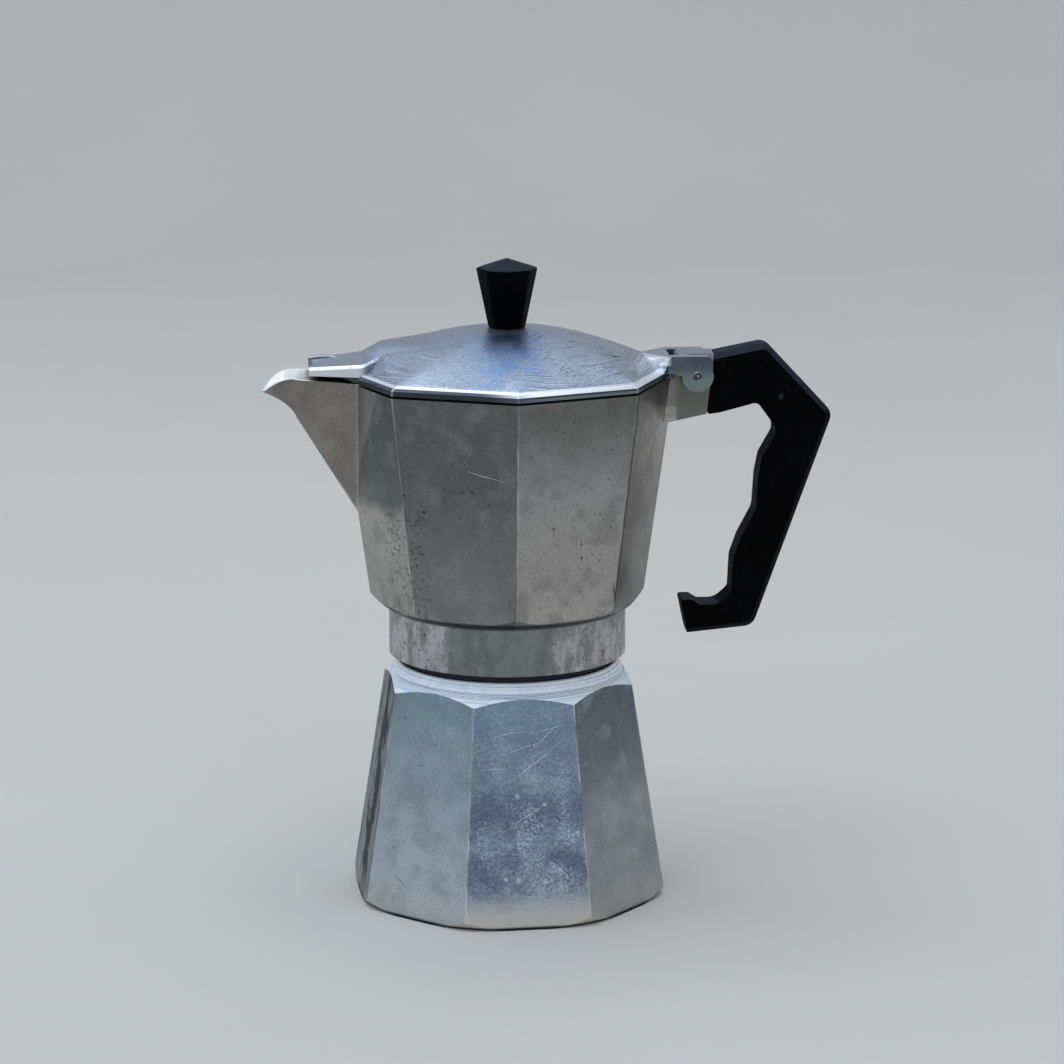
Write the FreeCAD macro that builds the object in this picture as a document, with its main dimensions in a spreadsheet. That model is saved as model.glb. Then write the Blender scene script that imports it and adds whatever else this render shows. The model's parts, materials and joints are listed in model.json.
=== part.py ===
import FreeCAD, Part
import math
import os
import re

import Sketcher

# Stove-top coffee pot in cast aluminium: an eight-sided boiler with its funnel and safety valve, and an
# eight-sided collector screwed on top, with spout, hinged lid and handle.
# Millimetres, +Z up, origin at the centre of the base, handle towards +X and spout towards -X.

rows = (
    ("edge_flat", 1.0, "flat left along each cast corner"),
    ("boiler_turn", -18.5, "degrees that the boiler is screwed round from the collector"),
    ("foot_radius", 51.85, "turned ring that the pot stands on"),
    ("foot_height", 3.3, "height of the turned foot at the corners"),
    ("boiler_low_radius", 55.05, "corner radius just above the foot"),
    ("boiler_high_radius", 43.67, "corner radius at the shoulder"),
    ("boiler_height", 73.4, "height of the shoulder at the corners"),
    ("boiler_wall", 3.2, "wall at the middle of a facet"),
    ("boiler_floor", 4.0, "thickness of the base"),
    ("shoulder_rise", 4.3, "rise of the turned shoulder to the neck"),
    ("neck_fillet", 1.0, "width of the hollow between shoulder and neck"),
    ("neck_radius", 36.2, "root of the outside thread"),
    ("neck_length", 16.3, "shoulder to neck rim"),
    ("neck_bore", 31.0, "mouth of the boiler"),
    ("thread_pitch", 3.0, "rise in one turn"),
    ("thread_turns", 2.5, "turns on the neck"),
    ("thread_depth", 1.4, "root to crest"),
    ("thread_root_width", 1.6, "ridge at its root"),
    ("thread_crest_width", 0.8, "ridge at its crest"),
    ("thread_clearance", 0.3, "between crest and root of the two threads"),
    ("thread_lead", 1.2, "plain skirt below the thread"),
    ("thread_sink", 0.4, "how deep a ridge is rooted in its wall"),
    ("funnel_clearance", 0.25, "basket in the neck"),
    ("funnel_wall", 0.8, "spun sheet"),
    ("flange_thickness", 1.0, "funnel flange on the neck rim"),
    ("flange_lip", 3.2, "flange beyond the neck bore"),
    ("basket_depth", 24.0, "neck rim to basket floor"),
    ("basket_ledge", 2.0, "seat of the perforated plate"),
    ("basket_cone", 10.0, "fall from basket floor to stem"),
    ("stem_radius", 6.5, "outside of the funnel stem"),
    ("stem_gap", 4.0, "stem end above the boiler floor"),
    ("plate_thickness", 0.6, "perforated plate in the basket"),
    ("plate_clearance", 0.15, "plate in the basket"),
    ("plate_hole", 0.8, "radius of one perforation"),
    ("plate_ring_step", 5.6, "between rings of perforations"),
    ("gasket_radius", 33.4, "outside of the rubber seal"),
    ("gasket_bore", 27.0, "inside of the rubber seal"),
    ("gasket_thickness", 3.4, "seal when screwed down"),
    ("seal_clearance", 0.3, "seal in its recess"),
    ("filter_thickness", 0.8, "upper perforated plate"),
    ("filter_lap", 4.0, "how far the filter plate lies over the seal"),
    ("band_wall", 2.2, "round skirt of the collector, outside its thread"),
    ("band_gap", 5.9, "boiler shoulder to skirt"),
    ("collector_low_radius", 46.65, "corner radius above the skirt"),
    ("collector_high_radius", 56.7, "corner radius at the rim"),
    ("underside_rise", 4.8, "turned cone under the collector"),
    ("collector_height", 73.0, "facets, from their foot to the rim"),
    ("collector_wall", 2.8, "wall at the middle of a facet"),
    ("collector_floor", 4.8, "filter seat to collector floor"),
    ("passage_radius", 24.0, "mouth of the coffee passage over the filter"),
    ("passage_throat_radius", 12.0, "passage where the column starts"),
    ("passage_throat_rise", 6.0, "rise of the passage to that place"),
    ("column_foot_radius", 19.0, "foot of the column on the floor"),
    ("column_waist_radius", 8.6, "column above its flare"),
    ("column_waist_height", 21.0, "floor to the top of the flare"),
    ("column_top_radius", 7.4, "column at its top"),
    ("column_height", 46.0, "floor to the top of the column"),
    ("column_wall", 2.6, "wall of the column"),
    ("column_cap", 3.0, "closed top of the column"),
    ("outlet_width", 6.0, "side outlets of the column"),
    ("outlet_height", 5.0, "side outlets of the column"),
    ("spout_wall", 1.7, "wall of the spout"),
    ("spout_root_inset", 10.7, "spout root inside the rim corner"),
    ("spout_root_drop", 52.1, "keel below the rim at the root"),
    ("spout_root_width", 16.2, "half width at the root"),
    ("spout_root_lift", 0.5, "spout rim above the collector rim at the root"),
    ("spout_throat_reach", 13.6, "where the keel starts to curl, beyond the rim corner"),
    ("spout_throat_drop", 13.1, "keel below the rim there"),
    ("spout_throat_width", 11.4, "half width there"),
    ("spout_throat_lift", 1.7, "spout rim there"),
    ("spout_curl_reach", 17.6, "middle of the curl"),
    ("spout_curl_drop", 8.0, "keel below the rim there"),
    ("spout_curl_width", 10.4, "half width there"),
    ("spout_curl_lift", 1.5, "spout rim there"),
    ("spout_lip_reach", 21.3, "start of the lip"),
    ("spout_lip_drop", 5.7, "keel below the rim there"),
    ("spout_lip_width", 9.0, "half width there"),
    ("spout_lip_fall", 0.3, "spout rim below the collector rim there"),
    ("spout_nose_reach", 23.9, "round of the lip"),
    ("spout_nose_drop", 4.5, "keel below the rim there"),
    ("spout_nose_width", 4.6, "half width there"),
    ("spout_nose_fall", 2.8, "spout rim below the collector rim there"),
    ("spout_tip_reach", 24.9, "pouring edge"),
    ("spout_tip_drop", 4.1, "keel below the rim at the pouring edge"),
    ("spout_tip_width", 0.8, "half width at the pouring edge"),
    ("spout_tip_fall", 3.6, "spout rim at the pouring edge"),
    ("hinge_reach", 6.3, "hinge axis beyond the rim corner"),
    ("hinge_rise", 1.2, "hinge axis above the rim"),
    ("hinge_pin_radius", 1.6, "hinge pin"),
    ("pin_clearance", 0.05, "running fit of the pins"),
    ("pin_head", 0.4, "peened end proud of the ear"),
    ("knuckle_radius", 7.2, "round of the fixed knuckle"),
    ("lug_half_width", 5.6, "handle lug and fixed knuckle"),
    ("lug_root_drop", 17.4, "lug foot below the hinge axis, at the wall"),
    ("lug_root_inset", 14.0, "lug root in front of the hinge axis"),
    ("tongue_half_width", 2.5, "tongue of the lug in the handle"),
    ("tongue_top", 2.0, "tongue above the hinge axis"),
    ("tongue_bottom", 4.5, "tongue below the hinge axis"),
    ("tongue_bend", 18.0, "where the tongue turns down"),
    ("tongue_reach", 33.0, "tongue end behind the hinge axis"),
    ("tongue_end_top", 4.5, "tongue end, upper corner below the hinge axis"),
    ("tongue_end_bottom", 12.0, "tongue end, lower corner below the hinge axis"),
    ("socket_clearance", 0.25, "tongue in the handle"),
    ("handle_gap", 0.2, "lug to the front of the handle"),
    ("handle_half_width", 5.8, "half thickness of the handle"),
    ("handle_front_top_x", 6.2, "handle corners, from the hinge axis"),
    ("handle_front_top_z", 6.7, ""),
    ("handle_crest_x", 23.8, ""),
    ("handle_crest_z", 10.2, ""),
    ("handle_elbow_x", 46.5, ""),
    ("handle_elbow_z", -14.0, ""),
    ("handle_heel_x", 20.4, ""),
    ("handle_heel_z", -87.1, ""),
    ("handle_toe_x", -2.1, ""),
    ("handle_toe_z", -89.3, ""),
    ("handle_hook_x", -4.6, ""),
    ("handle_hook_z", -77.4, ""),
    ("handle_hook_depth", 3.9, "flat end of the hook"),
    ("handle_valley_x", 2.0, "bottom of the hook"),
    ("handle_valley_z", -79.2, ""),
    ("handle_valley_length", 6.2, ""),
    ("handle_palm_x", 12.6, "foot of the finger grip"),
    ("handle_palm_z", -75.2, ""),
    ("grip_low_x", 13.1, "finger grip, lower swell"),
    ("grip_low_z", -63.7, ""),
    ("grip_hollow_x", 15.6, "finger grip, hollow"),
    ("grip_hollow_z", -56.6, ""),
    ("grip_middle_x", 20.6, "finger grip, middle swell"),
    ("grip_middle_z", -47.0, ""),
    ("grip_upper_x", 21.3, "finger grip, upper hollow"),
    ("grip_upper_z", -35.2, ""),
    ("grip_top_x", 22.6, "finger grip, top swell"),
    ("grip_top_z", -28.6, ""),
    ("crook_back_x", 27.0, "crook over the forefinger"),
    ("crook_back_low_z", -20.8, ""),
    ("crook_back_high_z", -18.3, ""),
    ("crook_roof_x", 20.9, ""),
    ("crook_roof_z", -9.9, ""),
    ("crook_front_x", 8.2, ""),
    ("crook_front_z", -13.2, ""),
    ("handle_front_low_x", 3.85, ""),
    ("handle_front_low_z", -13.8, ""),
    ("corner_round", 4.5, "outer corners of the handle"),
    ("grip_round", 6.0, "finger grip of the handle"),
    ("crook_round", 2.5, "inner corners of the handle"),
    ("tip_round", 0.8, "ends of the handle"),
    ("handle_bevel", 1.8, "bevel round the outside of the handle"),
    ("handle_pin_x", 28.7, "cross pin, from the hinge axis"),
    ("handle_pin_z", -7.7, ""),
    ("handle_pin_radius", 1.1, "cross pin"),
    ("handle_pin_sink", 0.2, "pin end below the handle face"),
    ("lid_inset", 0.2, "lid inside the corners of the collector rim"),
    ("lid_gap", 0.8, "lid over the collector rim"),
    ("lid_rim", 1.6, "upright edge of the lid"),
    ("lid_bevel", 1.1, "height of the rim bevel"),
    ("lid_bevel_width", 1.3, "width of the rim bevel"),
    ("lid_rise", 13.3, "dome from bevel to crown"),
    ("lid_crown_radius", 9.4, "flat under the knob"),
    ("lid_wall", 2.0, "thickness of the lid"),
    ("cover_reach", 9.5, "spout cover beyond the rim corner"),
    ("cover_end_half", 10.4, "half width at its end"),
    ("cover_end_top", 5.5, "top above the collector rim at its end"),
    ("cover_root", 8.2, "where the cover meets the dome, inside the rim corner"),
    ("cover_root_half", 15.2, "half width there"),
    ("cover_root_top", 7.0, "top there"),
    ("cover_step", 7.0, "length of the steep step up the dome"),
    ("cover_step_half", 15.4, "half width above the step"),
    ("cover_step_rise", 3.6, "rise of the step"),
    ("cover_tail", 19.5, "length of the tail that fades into the dome"),
    ("cover_tail_half", 13.5, "half width at the end of the tail"),
    ("cover_tail_rise", 3.2, "rise of the tail"),
    ("cover_edge", 1.0, "bevel along its sides"),
    ("cover_low", 2.8, "underside above the collector rim"),
    ("cover_notch", 1.6, "hollow in its end"),
    ("cover_notch_radius", 14.0, "round of that hollow"),
    ("ear_inner", 6.1, "inside face of a lid ear"),
    ("ear_outer", 10.8, "outside face of a lid ear"),
    ("ear_radius", 5.3, "round of a lid ear about the pin"),
    ("ear_top", 6.6, "ear above the hinge axis"),
    ("ear_back", 5.0, "ear behind the hinge axis"),
    ("ear_front", 11.7, "ear in front of the hinge axis"),
    ("ear_under", 0.9, "front of the ear above the hinge axis"),
    ("ear_slope", 2.8, "run of its slanted front"),
    ("ear_round", 1.3, "upper back corner of the ear"),
    ("wedge_tip", 19.0, "raised wedge, tip in front of the hinge axis"),
    ("wedge_foot_tip", 22.0, "tip of its foot"),
    ("wedge_half", 10.4, "half width of its top"),
    ("wedge_foot_half", 13.8, "half width of its foot"),
    ("notch_front", 10.0, "lid notch in front of the hinge axis"),
    ("knob_low_radius", 6.2, "knob at the lid"),
    ("knob_high_radius", 10.35, "knob at its widest"),
    ("knob_height", 20.0, "lid to widest"),
    ("knob_peak", 3.1, "low point on top"),
    ("knob_peak_radius", 0.6, "blunt tip"),
    ("knob_flat", 0.5, "flat along each knob edge"),
    ("insert_radius", 3.2, "threaded insert in the knob"),
    ("insert_length", 10.0, "threaded insert in the knob"),
    ("knob_screw_radius", 1.9, "screw from inside the lid"),
    ("knob_screw_reach", 9.0, "screw in the insert"),
    ("screw_clearance", 0.1, "screw in the insert and in the lid"),
    ("screw_head_radius", 3.6, "screw head"),
    ("screw_head_height", 2.2, "screw head"),
    ("screw_slot", 0.9, "driver slot"),
    ("screw_slot_depth", 1.0, "driver slot"),
    ("knob_washer_radius", 4.8, "washer under the head"),
    ("knob_washer_thickness", 0.8, "washer under the head"),
    ("valve_height", 46.0, "safety valve above the table"),
    ("valve_shank_radius", 3.5, "valve thread in the boiler wall"),
    ("valve_shank_length", 6.0, "valve inside the facet"),
    ("valve_port_clearance", 0.05, "shank in the boiler wall"),
    ("valve_washer_radius", 7.2, "sealing washer"),
    ("valve_washer_thickness", 1.0, "sealing washer"),
    ("valve_hex_radius", 6.9, "hexagon corners"),
    ("valve_hex_height", 5.0, "hexagon"),
    ("valve_inlet", 1.4, "steam hole"),
    ("valve_chamber", 2.6, "spring chamber"),
    ("valve_chamber_depth", 6.6, "spring chamber"),
    ("valve_seal_radius", 2.3, "rubber disc on the steam hole"),
    ("valve_seal_thickness", 0.8, "rubber disc on the steam hole"),
    ("plunger_head_height", 0.8, "plunger head on the disc"),
    ("plunger_stem_radius", 1.1, "plunger stem"),
    ("plunger_proud", 2.2, "stem beyond the cap"),
    ("valve_cap_thickness", 0.9, "pressed ring that holds the spring"),
    ("spring_wire", 0.3, "radius of the wire"),
    ("spring_radius", 1.85, "middle of the turns"),
    ("spring_turns", 3.0, "turns"),
    ("spring_end_gap", 0.05, "spring to its seats"),
)

doc = FreeCAD.newDocument("moka_pot")
sheet = doc.addObject("Spreadsheet::Sheet", "Sizes")
for line, (alias, value, note) in enumerate(rows, start=1):
    sheet.set(f"A{line}", note)
    sheet.set(f"B{line}", str(value))
    sheet.setAlias(f"B{line}", alias)
doc.recompute()
aliases = {alias for alias, value, note in rows}

vector = FreeCAD.Vector
sides = 8
side_angle = 360 / sides
half_side = side_angle / 2
along_y = FreeCAD.Rotation(vector(1, 0, 0), -90)
pieces = []

# Heights and places that several pieces share, as formulas of the sheet.
neck_foot = "(boiler_height + shoulder_rise)"
neck_rim = f"({neck_foot} + neck_length)"
flange_top = f"({neck_rim} + flange_thickness)"
gasket_top = f"({flange_top} + gasket_thickness)"
seat = f"({gasket_top} + filter_thickness)"
band_foot = f"({neck_foot} + band_gap)"
facet_foot = f"({seat} + underside_rise)"
rim = f"({facet_foot} + collector_height)"
cavity_floor = f"({seat} + collector_floor)"
basket_radius = "(neck_bore - funnel_clearance - funnel_wall)"
basket_floor = f"({neck_rim} - basket_depth)"
thread_crest = "(neck_radius + thread_depth)"
skirt_bore = f"({thread_crest} + thread_clearance)"
band_radius = f"({skirt_bore} + band_wall)"
thread_foot = f"({band_foot} + thread_lead)"
boiler_taper = "((boiler_low_radius - boiler_high_radius) / (boiler_height - foot_height))"
collector_taper = "((collector_high_radius - collector_low_radius) / collector_height)"
hinge_x = "(collector_high_radius + hinge_reach)"
hinge_z = f"({rim} + hinge_rise)"
lid_foot = f"({rim} + lid_gap)"
bevel_foot = f"({lid_foot} + lid_rim)"
bevel_top = f"({bevel_foot} + lid_bevel)"
crown = f"({bevel_top} + lid_rise)"
valve_apothem = f"((boiler_low_radius - {boiler_taper} * (valve_height - foot_height)) * cos({half_side}))"
valve_azimuth = f"(boiler_turn + {half_side} + {side_angle} * 2)"


def size(alias):
    return float(sheet.get(alias))


def spelled(formula):
    return re.sub(r"\b[a-z]\w*", lambda word: f"Sizes.{word[0]}" if word[0] in aliases else word[0], formula)


def tie(item, name, formula):
    item.setExpression(name, spelled(formula))


def place(item, x="0", y="0", z="0"):
    tie(item, "Placement.Base.x", x)
    tie(item, "Placement.Base.y", y)
    tie(item, "Placement.Base.z", z)
    return item


def sub_part(item, label):
    item.Label = label
    pieces.append(item)
    return item


def new_body(name):
    return doc.addObject("PartDesign::Body", name)


def new_sketch(body, name, plane, offset="0"):
    sketch = body.newObject("Sketcher::SketchObject", name)
    support = [item for item in body.Origin.OriginFeatures if item.Role == plane][0]
    sketch.AttachmentSupport = [(support, "")]
    sketch.MapMode = "FlatFace"
    tie(sketch, "AttachmentOffset.Base.z", offset)
    return sketch


def outline(body, name, plane, corners, offset="0"):
    """Closed run of straight sides whose corners are formulas of the sheet."""
    sketch = new_sketch(body, name, plane, offset)
    count = len(corners)
    starts = [vector(math.cos(2 * math.pi * k / count), math.sin(2 * math.pi * k / count), 0)
              for k in range(count)]
    for k in range(count):
        sketch.addGeometry(Part.LineSegment(starts[k], starts[(k + 1) % count]), False)
    sketch.addConstraint([Sketcher.Constraint("Coincident", k, 2, (k + 1) % count, 1) for k in range(count)])
    for k, corner in enumerate(corners):
        for kind, start, formula in zip(("DistanceX", "DistanceY"), starts[k], corner):
            index = sketch.addConstraint(Sketcher.Constraint(kind, -1, 1, k, 1, start))
            tie(sketch, f"Constraints[{index}]", formula)
    return sketch


def turned(name, corners):
    """Body turned about its own Z axis from a half outline."""
    body = new_body(name)
    sketch = outline(body, f"{name}_profile", "XZ_Plane", corners)
    revolution = body.newObject("PartDesign::Revolution", f"{name}_turning")
    revolution.Profile = sketch
    revolution.ReferenceAxis = (sketch, ["V_Axis"])
    revolution.Angle = 360
    return body


def padded(name, plane, corners, thickness, offset="0", both_ways=True):
    """Body of even thickness: across the plane on both sides, or from it on one side."""
    body = new_body(name)
    sketch = outline(body, f"{name}_outline", plane, corners, offset)
    pad = body.newObject("PartDesign::Pad", f"{name}_pad")
    pad.Profile = sketch
    pad.SideType = "Symmetric" if both_ways else "One side"
    tie(pad, "Length", thickness)
    return body


def lofted(name, plane, sections, ruled=True):
    """Body through outlines at several offsets from one plane."""
    body = new_body(name)
    sketches = [outline(body, f"{name}_section{k}", plane, corners, offset)
                for k, (offset, corners) in enumerate(sections)]
    loft = body.newObject("PartDesign::AdditiveLoft", f"{name}_loft")
    loft.Profile = sketches[0]
    loft.Sections = sketches[1:]
    loft.Ruled = ruled
    return body


def octagon(radius, turn="0", flat="edge_flat"):
    """Corners of an eight-sided outline with a small flat across each corner."""
    corners = []
    for k in range(sides):
        angle = f"({side_angle * k} + {turn})"
        inward = f"({radius} - {flat} / 2 * tan({half_side}))"
        for sign in ("-", "+"):
            x = f"{inward} * cos{angle} - (0 {sign} {flat} / 2) * sin{angle}"
            y = f"{inward} * sin{angle} + (0 {sign} {flat} / 2) * cos{angle}"
            corners.append((x, y))
    return corners


def cylinder(name, radius, height, x="0", y="0", z="0", rotation=None):
    item = doc.addObject("Part::Cylinder", name)
    tie(item, "Radius", radius)
    tie(item, "Height", height)
    if rotation:
        item.Placement = FreeCAD.Placement(vector(), rotation)
    return place(item, x, y, z)


def box(name, low, high):
    item = doc.addObject("Part::Box", name)
    for edge, start, end in zip(("Length", "Width", "Height"), low, high):
        tie(item, edge, f"({end}) - ({start})")
    return place(item, *low)


def fused(name, items):
    item = doc.addObject("Part::MultiFuse", name)
    item.Shapes = items
    return item


def shared(name, items):
    item = doc.addObject("Part::MultiCommon", name)
    item.Shapes = items
    return item


def cut(name, base, tools):
    item = doc.addObject("Part::Cut", name)
    item.Base = base
    item.Tool = tools[0] if len(tools) == 1 else fused(f"{name}_tools", tools)
    return item


def thread_ridge(name, root, crest, sunk, foot, turns):
    """Helical ridge of a screw thread, rooted a little way inside the wall that carries it."""
    helix = doc.addObject("Part::Helix", f"{name}_helix")
    tie(helix, "Pitch", "thread_pitch")
    tie(helix, "Height", f"thread_pitch * ({turns})")
    tie(helix, "Radius", root)
    place(helix, z=foot)
    body = new_body(f"{name}_ridge")
    corners = [
        (sunk, f"{foot} - thread_root_width / 2"),
        (crest, f"{foot} - thread_crest_width / 2"),
        (crest, f"{foot} + thread_crest_width / 2"),
        (sunk, f"{foot} + thread_root_width / 2"),
    ]
    sketch = outline(body, f"{name}_profile", "XZ_Plane", corners)
    sweep = doc.addObject("Part::Sweep", name)
    sweep.Sections = [sketch]
    sweep.Spine = (helix, [])
    sweep.Solid = True
    sweep.Frenet = True
    return sweep


def perforated(name, radius, thickness, foot):
    """Round plate with rings of holes, six more in each ring."""
    body = new_body(name)
    disc = new_sketch(body, f"{name}_disc", "XY_Plane", foot)
    disc.addGeometry(Part.Circle(vector(), vector(0, 0, 1), 1), False)
    disc.addConstraint(Sketcher.Constraint("Coincident", 0, 3, -1, 1))
    tie(disc, f"Constraints[{disc.addConstraint(Sketcher.Constraint('Radius', 0, 1))}]", radius)
    pad = body.newObject("PartDesign::Pad", f"{name}_pad")
    pad.Profile = disc
    tie(pad, "Length", thickness)
    axis = [item for item in body.Origin.OriginFeatures if item.Role == "Z_Axis"][0]
    for ring in range(5):
        hole = new_sketch(body, f"{name}_hole{ring}", "XY_Plane", foot)
        hole.addGeometry(Part.Circle(vector(1, 0, 0), vector(0, 0, 1), 0.5), False)
        across = hole.addConstraint(Sketcher.Constraint("DistanceX", -1, 1, 0, 3, 1))
        tie(hole, f"Constraints[{across}]", f"plate_ring_step * {ring}")
        hole.addConstraint(Sketcher.Constraint("DistanceY", -1, 1, 0, 3, 0))
        bore = hole.addConstraint(Sketcher.Constraint("Radius", 0, 0.5))
        tie(hole, f"Constraints[{bore}]", "plate_hole")
        pocket = body.newObject("PartDesign::Pocket", f"{name}_pocket{ring}")
        pocket.Profile = hole
        pocket.Type = "ThroughAll"
        pocket.Reversed = True
        body.Tip = pocket
        if ring:
            pattern = body.newObject("PartDesign::PolarPattern", f"{name}_ring{ring}")
            pattern.Originals = [pocket]
            pattern.Axis = (axis, [""])
            pattern.Angle = 360
            pattern.Occurrences = 6 * ring
            body.Tip = pattern
    return body


def rounded_octagon(radius, blend, height):
    """Eight-sided wire whose corners are rounded by arcs of radius blend."""
    tangent = blend * math.tan(math.radians(half_side))
    bulge = blend / math.cos(math.radians(half_side)) - blend
    corners = [vector(radius * math.cos(math.radians(side_angle * k)),
                      radius * math.sin(math.radians(side_angle * k)), height) for k in range(sides)]
    edges = []
    for k, corner in enumerate(corners):
        before = (corners[k - 1] - corner).normalize()
        after = (corners[(k + 1) % sides] - corner).normalize()
        inward = (vector(0, 0, height) - corner).normalize()
        arc = Part.Arc(corner + before * tangent, corner + inward * bulge, corner + after * tangent)
        end = corners[(k + 1) % sides] - after * tangent
        edges += [arc.toShape(), Part.LineSegment(corner + after * tangent, end).toShape()]
    return Part.Wire(edges)


def dome(name, radius, rise, crown_radius, foot):
    """Dome that is eight-sided at its foot and round at its crown."""
    centre = (crown_radius ** 2 + rise ** 2 - radius ** 2) / (2 * rise)
    ball = math.hypot(radius, centre)
    apothem_share = math.cos(math.radians(half_side))
    wires = []
    for share in (1.0, 0.8, 0.6, 0.4, crown_radius / radius):
        reach = radius * share
        height = centre + math.sqrt(ball ** 2 - reach ** 2)
        roundness = min(0.9, 0.02 + 1.7 * (1 - share))
        wires.append(rounded_octagon(reach, reach * apothem_share * roundness, height))
    item = doc.addObject("Part::Feature", name)
    item.Shape = Part.makeLoft(wires, True, False)
    return place(item, z=foot)


# Boiler

boiler_block = lofted("boiler_block", "XY_Plane", (
    ("0", octagon(f"(boiler_low_radius + {boiler_taper} * foot_height)", "boiler_turn")),
    (f"{neck_foot} + 2 * neck_fillet",
     octagon(f"(boiler_high_radius - {boiler_taper} * (shoulder_rise + 2 * neck_fillet))", "boiler_turn")),
))
foot_flare = "(2 * boiler_low_radius - foot_radius)"
shoulder_fall = (f"(shoulder_rise * ({foot_flare} - boiler_high_radius) /"
                 " (boiler_high_radius - neck_radius - neck_fillet))")
boiler_turning = turned("boiler_turning", [
    ("0", "0"),
    ("foot_radius", "0"),
    (foot_flare, "2 * foot_height"),
    (foot_flare, f"boiler_height - {shoulder_fall}"),
    ("neck_radius + neck_fillet", neck_foot),
    ("neck_radius", f"{neck_foot} + 2 * neck_fillet"),
    ("0", f"{neck_foot} + 2 * neck_fillet"),
])
boiler_outside = shared("boiler_outside", [boiler_block, boiler_turning])
boiler_neck = cylinder("boiler_neck", "neck_radius", f"{neck_rim} - boiler_height", z="boiler_height")
boiler_thread = thread_ridge("boiler_thread", "neck_radius", thread_crest, "neck_radius - thread_sink",
                             thread_foot, "thread_turns")
floor_radius = f"(boiler_low_radius - {boiler_taper} * (boiler_floor - foot_height))"
hollow_low = f"({floor_radius} * cos({half_side}) - boiler_wall)"
hollow_high = f"(boiler_high_radius * cos({half_side}) - boiler_wall)"
boiler_hollow = turned("boiler_hollow", [
    ("0", "boiler_floor"),
    (hollow_low, "boiler_floor"),
    (hollow_high, "boiler_height - boiler_wall"),
    ("neck_bore", f"{neck_foot} - boiler_wall / 2"),
    ("neck_bore", f"{neck_rim} + neck_length"),
    ("0", f"{neck_rim} + neck_length"),
])


def on_valve_axis(item):
    """Stand a piece on the rear facet of the boiler, its own Z axis square to the facet."""
    place(item, f"{valve_apothem} * cos{valve_azimuth}", f"{valve_apothem} * sin{valve_azimuth}",
          "valve_height")
    tie(item, "Placement.Rotation.Yaw", valve_azimuth)
    tie(item, "Placement.Rotation.Pitch", f"90 deg - atan({boiler_taper} * cos({half_side}))")
    return item


valve_port = on_valve_axis(turned("valve_port", [
    ("0", "-valve_shank_length"),
    ("valve_shank_radius + valve_port_clearance", "-valve_shank_length"),
    ("valve_shank_radius + valve_port_clearance", "valve_washer_thickness"),
    ("0", "valve_washer_thickness"),
]))
boiler_whole = fused("boiler_whole", [boiler_outside, boiler_neck, boiler_thread])
sub_part(cut("boiler", boiler_whole, [boiler_hollow, valve_port]), "boiler")

# Safety valve

valve_face = "valve_washer_thickness"
valve_end = f"({valve_face} + valve_hex_height)"
chamber_foot = f"({valve_end} - valve_chamber_depth)"
plunger_foot = f"({chamber_foot} + valve_seal_thickness)"
spring_foot = f"({plunger_foot} + plunger_head_height)"
cap_foot = f"({valve_end} - valve_cap_thickness)"

valve_washer = turned("valve_washer", [
    ("valve_shank_radius + valve_port_clearance", "0"),
    ("valve_washer_radius", "0"),
    ("valve_washer_radius", "valve_washer_thickness"),
    ("valve_shank_radius + valve_port_clearance", "valve_washer_thickness"),
])
sub_part(on_valve_axis(valve_washer), "valve_washer")

valve_hex = padded("valve_hex", "XY_Plane", [
    (f"valve_hex_radius * cos({60 * k})", f"valve_hex_radius * sin({60 * k})") for k in range(6)
], "valve_hex_height", valve_face, both_ways=False)
valve_shank = cylinder("valve_shank", "valve_shank_radius", f"valve_shank_length + {valve_face}",
                       z="-valve_shank_length")
valve_bore = turned("valve_bore", [
    ("0", "-valve_shank_length * 2"),
    ("valve_inlet", "-valve_shank_length * 2"),
    ("valve_inlet", chamber_foot),
    ("valve_chamber", chamber_foot),
    ("valve_chamber", f"{valve_end} + valve_cap_thickness"),
    ("0", f"{valve_end} + valve_cap_thickness"),
])
valve_body = cut("valve_body", fused("valve_metal", [valve_hex, valve_shank]), [valve_bore])
sub_part(on_valve_axis(valve_body), "valve_body")

valve_seal = turned("valve_seal", [
    ("0", chamber_foot),
    ("valve_seal_radius", chamber_foot),
    ("valve_seal_radius", plunger_foot),
    ("0", plunger_foot),
])
sub_part(on_valve_axis(valve_seal), "valve_seal")

valve_plunger = turned("valve_plunger", [
    ("0", plunger_foot),
    ("valve_seal_radius", plunger_foot),
    ("valve_seal_radius", spring_foot),
    ("plunger_stem_radius", spring_foot),
    ("plunger_stem_radius", f"{valve_end} + plunger_proud"),
    ("0", f"{valve_end} + plunger_proud"),
])
sub_part(on_valve_axis(valve_plunger), "valve_plunger")

valve_cap = turned("valve_cap", [
    ("plunger_stem_radius + pin_clearance", cap_foot),
    ("valve_chamber", cap_foot),
    ("valve_chamber", valve_end),
    ("plunger_stem_radius + pin_clearance", valve_end),
])
sub_part(on_valve_axis(valve_cap), "valve_cap")

spring_low = f"({spring_foot} + spring_wire + spring_end_gap)"
spring_length = f"({cap_foot} - {spring_foot} - 2 * (spring_wire + spring_end_gap))"
spring_helix = doc.addObject("Part::Helix", "spring_helix")
tie(spring_helix, "Height", spring_length)
tie(spring_helix, "Pitch", f"{spring_length} / spring_turns")
tie(spring_helix, "Radius", "spring_radius")
place(spring_helix, z=spring_low)
spring_body = new_body("spring_section")
spring_profile = outline(spring_body, "spring_wire_section", "XZ_Plane", [
    (f"spring_radius + spring_wire * cos({side_angle * k})",
     f"{spring_low} + spring_wire * sin({side_angle * k})") for k in range(sides)
])
spring_coil = doc.addObject("Part::Sweep", "spring_coil")
spring_coil.Sections = [spring_profile]
spring_coil.Spine = (spring_helix, [])
spring_coil.Solid = True
spring_coil.Frenet = True
valve_spring = doc.addObject("Part::Compound", "valve_spring")
valve_spring.Links = [spring_coil]
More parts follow.
